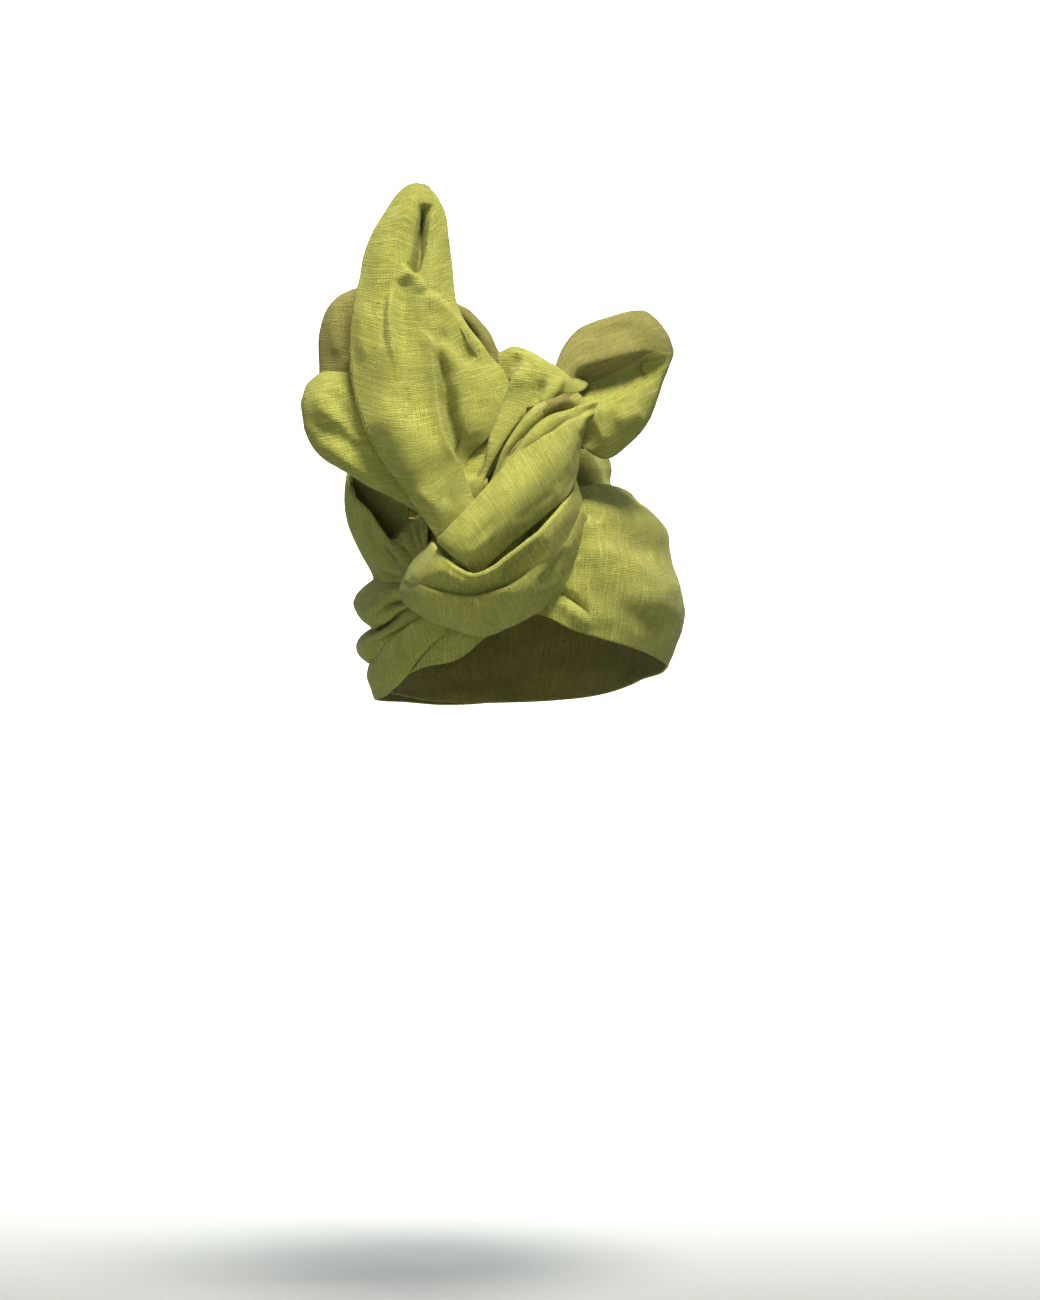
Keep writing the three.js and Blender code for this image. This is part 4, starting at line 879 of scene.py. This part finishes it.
# %% The leaf's return
LEAF_RETURN = [
    [(452, 486, 16), (466, 480, 12), (480, 476, 4), (470, 480, -10), (456, 486, -10)],
    [(440, 450, -6), (468, 440, -2), (492, 432, -8), (474, 440, -26), (444, 450, -30)],
    [(430, 415, -16), (475, 402, -8), (506, 396, -12), (476, 404, -36), (436, 414, -40)],
    [(432, 376, -22), (475, 368, -12), (506, 370, -16), (472, 374, -40), (436, 380, -46)],
    [(436, 350, -26), (472, 342, -14), (498, 351, -18), (466, 350, -42), (432, 352, -48)],
    [(428, 330, -28), (462, 322, -18), (487, 330, -22), (458, 330, -42), (424, 330, -48)],
    [(416, 312, -30), (446, 308, -22), (468, 315, -26), (444, 312, -42), (414, 312, -46)],
    [(411, 297, -30), (438, 295, -25), (456, 303, -29), (436, 298, -42), (412, 297, -44)],
    [(409, 282, -31), (434, 282, -27), (449, 287, -32), (434, 283, -41), (414, 282, -42)],
    [(413, 266, -32), (434, 265, -29), (447, 266, -34), (436, 265, -40), (418, 266, -42)],
    [(419, 249, -33), (434, 247, -30), (445, 245, -35), (438, 246, -40), (424, 249, -41)],
    [(424, 232, -34), (434, 229, -32), (443, 225, -36), (438, 228, -39), (428, 232, -40)],
]
RETURN_FOLDS = [
    ([(452, 306), (468, 318), (482, 336), (492, 354)], 2, 5, 5),
    ([(456, 312), (470, 328), (482, 348)], -2.5, 4, 4),
]
leaf_return = folded(facing(loft(LEAF_RETURN, 90, 150)), RETURN_FOLDS)
leaf_return = crumpled(leaf_return, 0.016, 0.0016, 33)
# the whole return gets the darker, browner linen as painted shade
make_cloth("leaf_return", leaf_return, painted_shade_mask=np.ones(leaf_return.shape[:2]))

# %% [markdown]
# ## The loop
# The loop is the other end of the strip, puffed like a bow and pressed in along the middle. It is
# a closed ring of cloth, so its grid is a ring too, run through a table of upper and lower edges.
# Above the pressed-in valley the cloth is painted in shade with the darker, browner linen.


# %% The loop
def puffed(rows, across, along):
    """A hollow loop through rows of an upper and a lower place, then forward and the depth before
    and behind it, in hundredths."""
    rows = np.array([[*upper, *lower, *rest] for upper, lower, *rest in rows]) / ((1,) * 4 + (100,) * 3)
    table = curve_through(rows, along)
    s = np.arange(across) / across * 2 - 1
    middle = (table[:, None, 0:2] + table[:, None, 2:4]) / 2
    half = (table[:, None, 0:2] - table[:, None, 2:4]) / 2
    place = middle + half * np.sin(math.pi * s)[None, :, None]
    deep = np.cos(math.pi * s)[None]
    forward = table[:, None, 4] + deep * np.where(deep > 0, table[:, None, 5], table[:, None, 6])
    grid = seen(np.concatenate([place, forward[..., None]], -1))
    front = normals_of(grid, True)[:, across // 2 - 2 : across // 2 + 3, 1].mean()
    return grid if front < 0 else grid[:, ::-1]


SIDE_LOOP = [
    ((480, 498), (488, 508), 48, 5, 4),
    ((491, 474), (500, 485), 54, 6, 5),
    ((504, 450), (515, 465), 53, 7, 6),
    ((521, 427), (535, 446), 47, 8, 8),
    ((538, 405), (562, 436), 34, 12, 12),
    ((549, 380), (581, 448), 12, 22, 20),
    ((560, 352), (594, 456), -12, 31, 32),
    ((576, 331), (604, 459), -24, 35, 36),
    ((592, 322), (614, 457), -27, 37, 36),
    ((611, 316), (626, 448), -28, 37, 36),
    ((631, 311), (638, 436), -28, 35, 34),
    ((647, 311), (650, 418), -27, 31, 30),
    ((659, 321), (658, 398), -26, 24, 24),
    ((668, 335), (666, 376), -26, 14, 14),
    ((673, 350), (673, 356), -26, 2, 2),
]
LOOP_FOLDS = [
    ([(574, 383), (590, 377), (606, 372), (626, 367), (646, 361), (668, 366)],
     -13, 5, 24, (0.15, 0.1), 1.8),
    ([(566, 370), (592, 364), (622, 356), (654, 348)], 4, 10, 6),
    # the gathers at its root: a ridge, the dark slit below it, and the rolled lip below that
    ([(490, 477), (505, 452), (522, 428), (542, 408), (564, 401), (586, 402)], 2.2, 4, 4),
    ([(499, 470), (513, 449), (530, 428), (548, 414), (568, 408), (588, 409)], -4.5, 2.6, 3),
    ([(510, 464), (530, 441), (552, 422), (578, 413), (602, 410), (622, 408)], 3, 5, 9, (0.25, 0.4)),
    ([(580, 420), (585, 428), (588, 438), (588, 450)], -4, 4, 5, (0.15, 0.3)),
    ([(586, 417), (594, 424), (600, 434), (603, 446)], 2.2, 8, 4),
    ([(586, 340), (612, 330), (642, 326)], -2, 6, 7),
    ([(612, 418), (628, 416), (642, 408)], 2.5, 9, 10),
]
loop = puffed(SIDE_LOOP, 120, 150)
across, down = np.moveaxis(pictured(loop), -1, 0)
upward = (down.max(1, keepdims=True) - down) / np.ptp(down, axis=1, keepdims=True)
painted_shade_faces = (upward > 0.58) & (across > 545)  # painted shade: the darker, browner linen above the valley
LOOP_DEPTH = seen((600, 400, -0.24))[1]
loop = folded(loop, LOOP_FOLDS, ring=True, ahead_of=LOOP_DEPTH)
loop = crushed(loop, (0.034, 0.0018), (0.02, 0.0012), 41, ring=True)
make_cloth("side_loop", loop, ring=True, painted_shade_mask=painted_shade_faces.astype(float), weft_up=True)

# %% [markdown]
# ## The lobe behind the leaf
# The lobe is puffed in the same way as the loop. Its upper turn is a second ring, painted in shade
# all over with the darker, browner linen.

# %% The lobe
LOWER_LOBE = [
    ((448, 536), (440, 541), 30, 5, 5),
    ((440, 510), (424, 517), 2, 15, 12),
    ((438, 498), (405, 505), -26, 26, 20),
    ((435, 488), (385, 495), -38, 32, 28),
    ((432, 478), (365, 485), -42, 34, 32),
    ((428, 464), (340, 471), -42, 36, 32),
    ((424, 450), (320, 456), -42, 36, 32),
    ((420, 430), (307, 434), -42, 36, 32),
    ((416, 412), (303, 411), -42, 34, 30),
    ((412, 398), (305, 393), -42, 28, 28),
    ((408, 388), (311, 381), -42, 20, 20),
    ((404, 382), (320, 373), -42, 12, 12),
    ((400, 378), (332, 370), -42, 3, 3),
]
LOWER_LOBE_FOLDS = [
    ([(306, 420), (326, 426), (352, 448), (380, 470)], -3, 7, 9),
    ([(312, 442), (334, 452), (362, 474), (392, 492)], 2, 9, 9),
    ([(330, 388), (344, 410), (360, 438)], -2.2, 8, 10),
    ([(320, 392), (324, 410), (338, 430)], 1.8, 8, 8),
]
UPPER_LOBE = [
    ((412, 400), (320, 400), -54, 12, 12),
    ((414, 384), (319, 384), -52, 18, 20),
    ((416, 370), (320, 369), -50, 22, 24),
    ((414, 352), (320, 352), -50, 24, 26),
    ((410, 330), (321, 331), -50, 22, 25),
    ((403, 310), (326, 310), -50, 18, 20),
    ((390, 297), (337, 295), -50, 12, 12),
    ((376, 290), (353, 287), -50, 4, 4),
]
UPPER_LOBE_FOLDS = [
    ([(334, 298), (334, 330), (338, 362)], 3, 7, 7),
    ([(345, 296), (345, 330), (348, 366)], -3, 6, 6),
]
LOBE_DEPTH = seen((350, 400, -0.42))[1]
lobe = folded(puffed(LOWER_LOBE, 120, 150), LOWER_LOBE_FOLDS, ring=True, ahead_of=LOBE_DEPTH)
lobe = crushed(lobe, (0.034, 0.0022), (0.022, 0.0018), 43, ring=True)
make_cloth("back_lobe", lobe, ring=True)
lobe = folded(puffed(UPPER_LOBE, 100, 90), UPPER_LOBE_FOLDS, ring=True, ahead_of=LOBE_DEPTH)
lobe = crumpled(lobe, 0.03, 0.0030, 45, ring=True)
# the whole upper turn gets the darker, browner linen as painted shade
painted_shade_faces = np.ones(lobe.shape[:2])
make_cloth("back_lobe_upper", lobe, ("back_lobe",), ring=True, painted_shade_mask=painted_shade_faces)

# %% [markdown]
# ## The fan
# Between leaf and loop a small fan of gathers comes over its own top fold. A sheet through rows of
# places is enough for it, because only its front and its top fold show.

# %% The fan
CENTRE_FAN = [
    [(462, 514, 26), (469, 512, 32), (476, 510, 36), (482, 506, 32)],
    [(462, 496, 28), (471, 492, 36), (480, 488, 42), (488, 483, 38)],
    [(464, 468, 20), (478, 466, 34), (491, 462, 42), (502, 456, 38)],
    [(476, 442, 14), (492, 439, 30), (506, 436, 40), (518, 431, 36)],
    [(490, 418, 10), (508, 414, 26), (525, 411, 38), (538, 408, 32)],
    [(500, 398, 8), (524, 394, 24), (548, 394, 34), (565, 396, 24)],
    [(500, 376, 6), (526, 374, 22), (556, 380, 28), (580, 390, 14)],
    [(498, 358, 2), (520, 353, 14), (552, 366, 18), (586, 384, 4)],
    [(499, 353, -4), (518, 347, 0), (552, 363, 0), (586, 381, -6)],
    [(502, 360, -20), (518, 356, -16), (550, 372, -14), (584, 392, -18)],
    [(508, 390, -30), (522, 390, -30), (552, 402, -26), (574, 412, -26)],
]
FAN_FOLDS = [
    ([(534, 356), (514, 390), (496, 428), (480, 464)], 5, 9, 8),
    ([(508, 376), (500, 405), (486, 440), (474, 472)], -5, 5, 6, (0.2, 0)),
    ([(548, 372), (530, 404), (508, 440), (488, 476)], -5, 5, 6, (0.2, 0)),
    ([(566, 374), (548, 396), (522, 430)], 3, 6, 6),
    ([(520, 352), (510, 372), (498, 400)], -2, 5, 5),
]
fan = folded(facing(loft(CENTRE_FAN, 80, 140)), FAN_FOLDS)
fan = crushed(fan, (0.02, 0.0014), (0.016, 0.0014), 46)
fan = rolled(fan, 0.0016, 0.006, "right")
make_cloth("centre_fan", fan)

# %% [markdown]
# ## Inside the pocket and the knot
# Three pieces are half hidden: the small fold in the pocket, the ply that closes the pocket towards
# the head, and the twist inside the knot. They keep a look into a gap from meeting nothing.

# %% Inside the pocket and the knot
POCKET_FOLD = [
    [(413, 573, -24), (416, 572, -18), (420, 570, -14), (424, 567, -14)],
    [(403, 559, -44), (410, 555, -36), (418, 550, -30), (427, 546, -28)],
    [(395, 551, -60), (404, 545, -52), (415, 537, -44), (428, 530, -42)],
    [(389, 547, -76), (398, 540, -70), (411, 528, -60), (428, 517, -56)],
    [(386, 545, -90), (395, 537, -86), (408, 524, -76), (427, 508, -70)],
]
POCKET_FOLD_FOLDS = [
    ([(413, 571), (403, 551), (394, 534)], -4, 3, 4, (0.1, 0.2)),
    ([(418, 568), (411, 544), (402, 520)], -5, 4, 4, (0.1, 0.2)),
    ([(422, 566), (418, 538), (413, 508)], -4, 3, 3, (0.1, 0.2)),
]
pocket_fold = folded(facing(loft(POCKET_FOLD, 60, 90)), POCKET_FOLD_FOLDS)
pocket_fold = crumpled(pocket_fold, 0.012, 0.0014, 48)
pocket_fold = rolled(pocket_fold, 0.0014, 0.004, "left")
make_cloth("pocket_fold", pocket_fold)

POCKET_LINING = [
    [(352, 474, -174), (364, 477, -142), (382, 482, -112), (408, 488, -90)],
    [(355, 493, -198), (366, 498, -172), (383, 506, -144), (408, 514, -116)],
    [(360, 520, -230), (370, 526, -206), (386, 538, -182), (409, 550, -146)],
]
lining = crumpled(facing(loft(POCKET_LINING, 70, 50)), 0.02, 0.0012, 50)
make_cloth("pocket_lining", lining, ("pocket_fold",))

KNOT_CORE = [
    ((447, 560), (446, 566), 24, 4, 4),
    ((456, 544), (470, 572), 34, 11, 12),
    ((474, 526), (496, 562), 40, 14, 16),
    ((494, 508), (518, 546), 40, 14, 16),
    ((512, 494), (532, 526), 30, 11, 12),
    ((524, 490), (532, 504), 18, 5, 5),
]
core = crumpled(puffed(KNOT_CORE, 60, 60), 0.02, 0.002, 49, ring=True)
make_cloth("knot_core", core, ring=True)

# %% [markdown]
# ## Stage and light
# The wrap stands before a pale wall and above a pale floor. A lamp high in front, a little to the
# right, models the folds. A wide soft one in front fills them, a weak one above lights the top,
# and one turned to the wall keeps the background pale without lighting the cloth from behind.

# %% Stage, light and close
FLOOR_DEPTH, FLOOR_START, WALL_FOOT, COVE_BEND, WALL_RISE = -0.36, -3.5, 0.8, 1.2, 3.0
COVE_STEPS, BEND_FROM, BEND_TO = 40, 0.45, 0.7  # the shares of the way at which the bend is
cove = []
for i in range(COVE_STEPS + 1):
    t = i / COVE_STEPS
    bend = max(0.0, min(1.0, (t - BEND_FROM) / 0.25)) * math.pi / 2
    if t < BEND_FROM:
        cove.append((FLOOR_START + t / BEND_FROM * 4.3, FLOOR_DEPTH))
    elif t <= BEND_TO:
        rise = COVE_BEND * (1 - math.cos(bend))
        cove.append((WALL_FOOT + COVE_BEND * math.sin(bend), FLOOR_DEPTH + rise))
    else:
        cove.append((2.0, FLOOR_DEPTH + COVE_BEND + (t - BEND_TO) / 0.3 * WALL_RISE))
points = [(x, y, z) for y, z in cove for x in (-5, 5)]
faces = [(2 * i, 2 * i + 1, 2 * i + 3, 2 * i + 2) for i in range(COVE_STEPS)]
mesh = bpy.data.meshes.new("backdrop")
mesh.from_pydata(points, [], faces)
mesh.polygons.foreach_set("use_smooth", [True] * len(faces))
backdrop = bpy.data.objects.new("backdrop", mesh)
bpy.context.collection.objects.link(backdrop)
pale = bpy.data.materials.new("pale")
pale.use_nodes = True
surface = pale.node_tree.nodes["Principled BSDF"].inputs
surface["Base Color"].default_value = (0.24, 0.25, 0.24, 1)
surface["Roughness"].default_value = 0.9
backdrop.data.materials.append(pale)

world = bpy.data.worlds.new("studio")
bpy.context.scene.world = world
world.use_nodes = True
world.node_tree.nodes["Background"].inputs["Color"].default_value = (0.82, 0.96, 1.0, 1)
world.node_tree.nodes["Background"].inputs["Strength"].default_value = 0.11
LIGHTS = (  # name, place, size, power, aim and tint
    ("key", (0.35, -1.25, 2.40), 0.75, 170, (0, 0, 0.1), (1, 0.97, 0.92)),
    ("front", (-0.5, -2.2, 0.3), 1.8, 21, (0, 0, 0.1), (0.93, 1, 0.98)),
    ("top", (-0.2, 0.3, 1.8), 1.0, 3, (0, 0, 0.1), (1, 1, 1)),
    ("wall", (0.0, 0.95, 1.5), 1.8, 240, (0, 2.5, 0.6), (1, 1, 1)),
)
for name, place, size, power, aim, tint in LIGHTS:
    data = bpy.data.lights.new(name, "AREA")
    data.size, data.energy, data.color = size, power, tint
    lamp = bpy.data.objects.new(name, data)
    lamp.location = place
    lamp.rotation_euler = (Vector(aim) - lamp.location).to_track_quat("-Z", "Y").to_euler()
    bpy.context.collection.objects.link(lamp)
bpy.context.scene.view_settings.view_transform = "Standard"
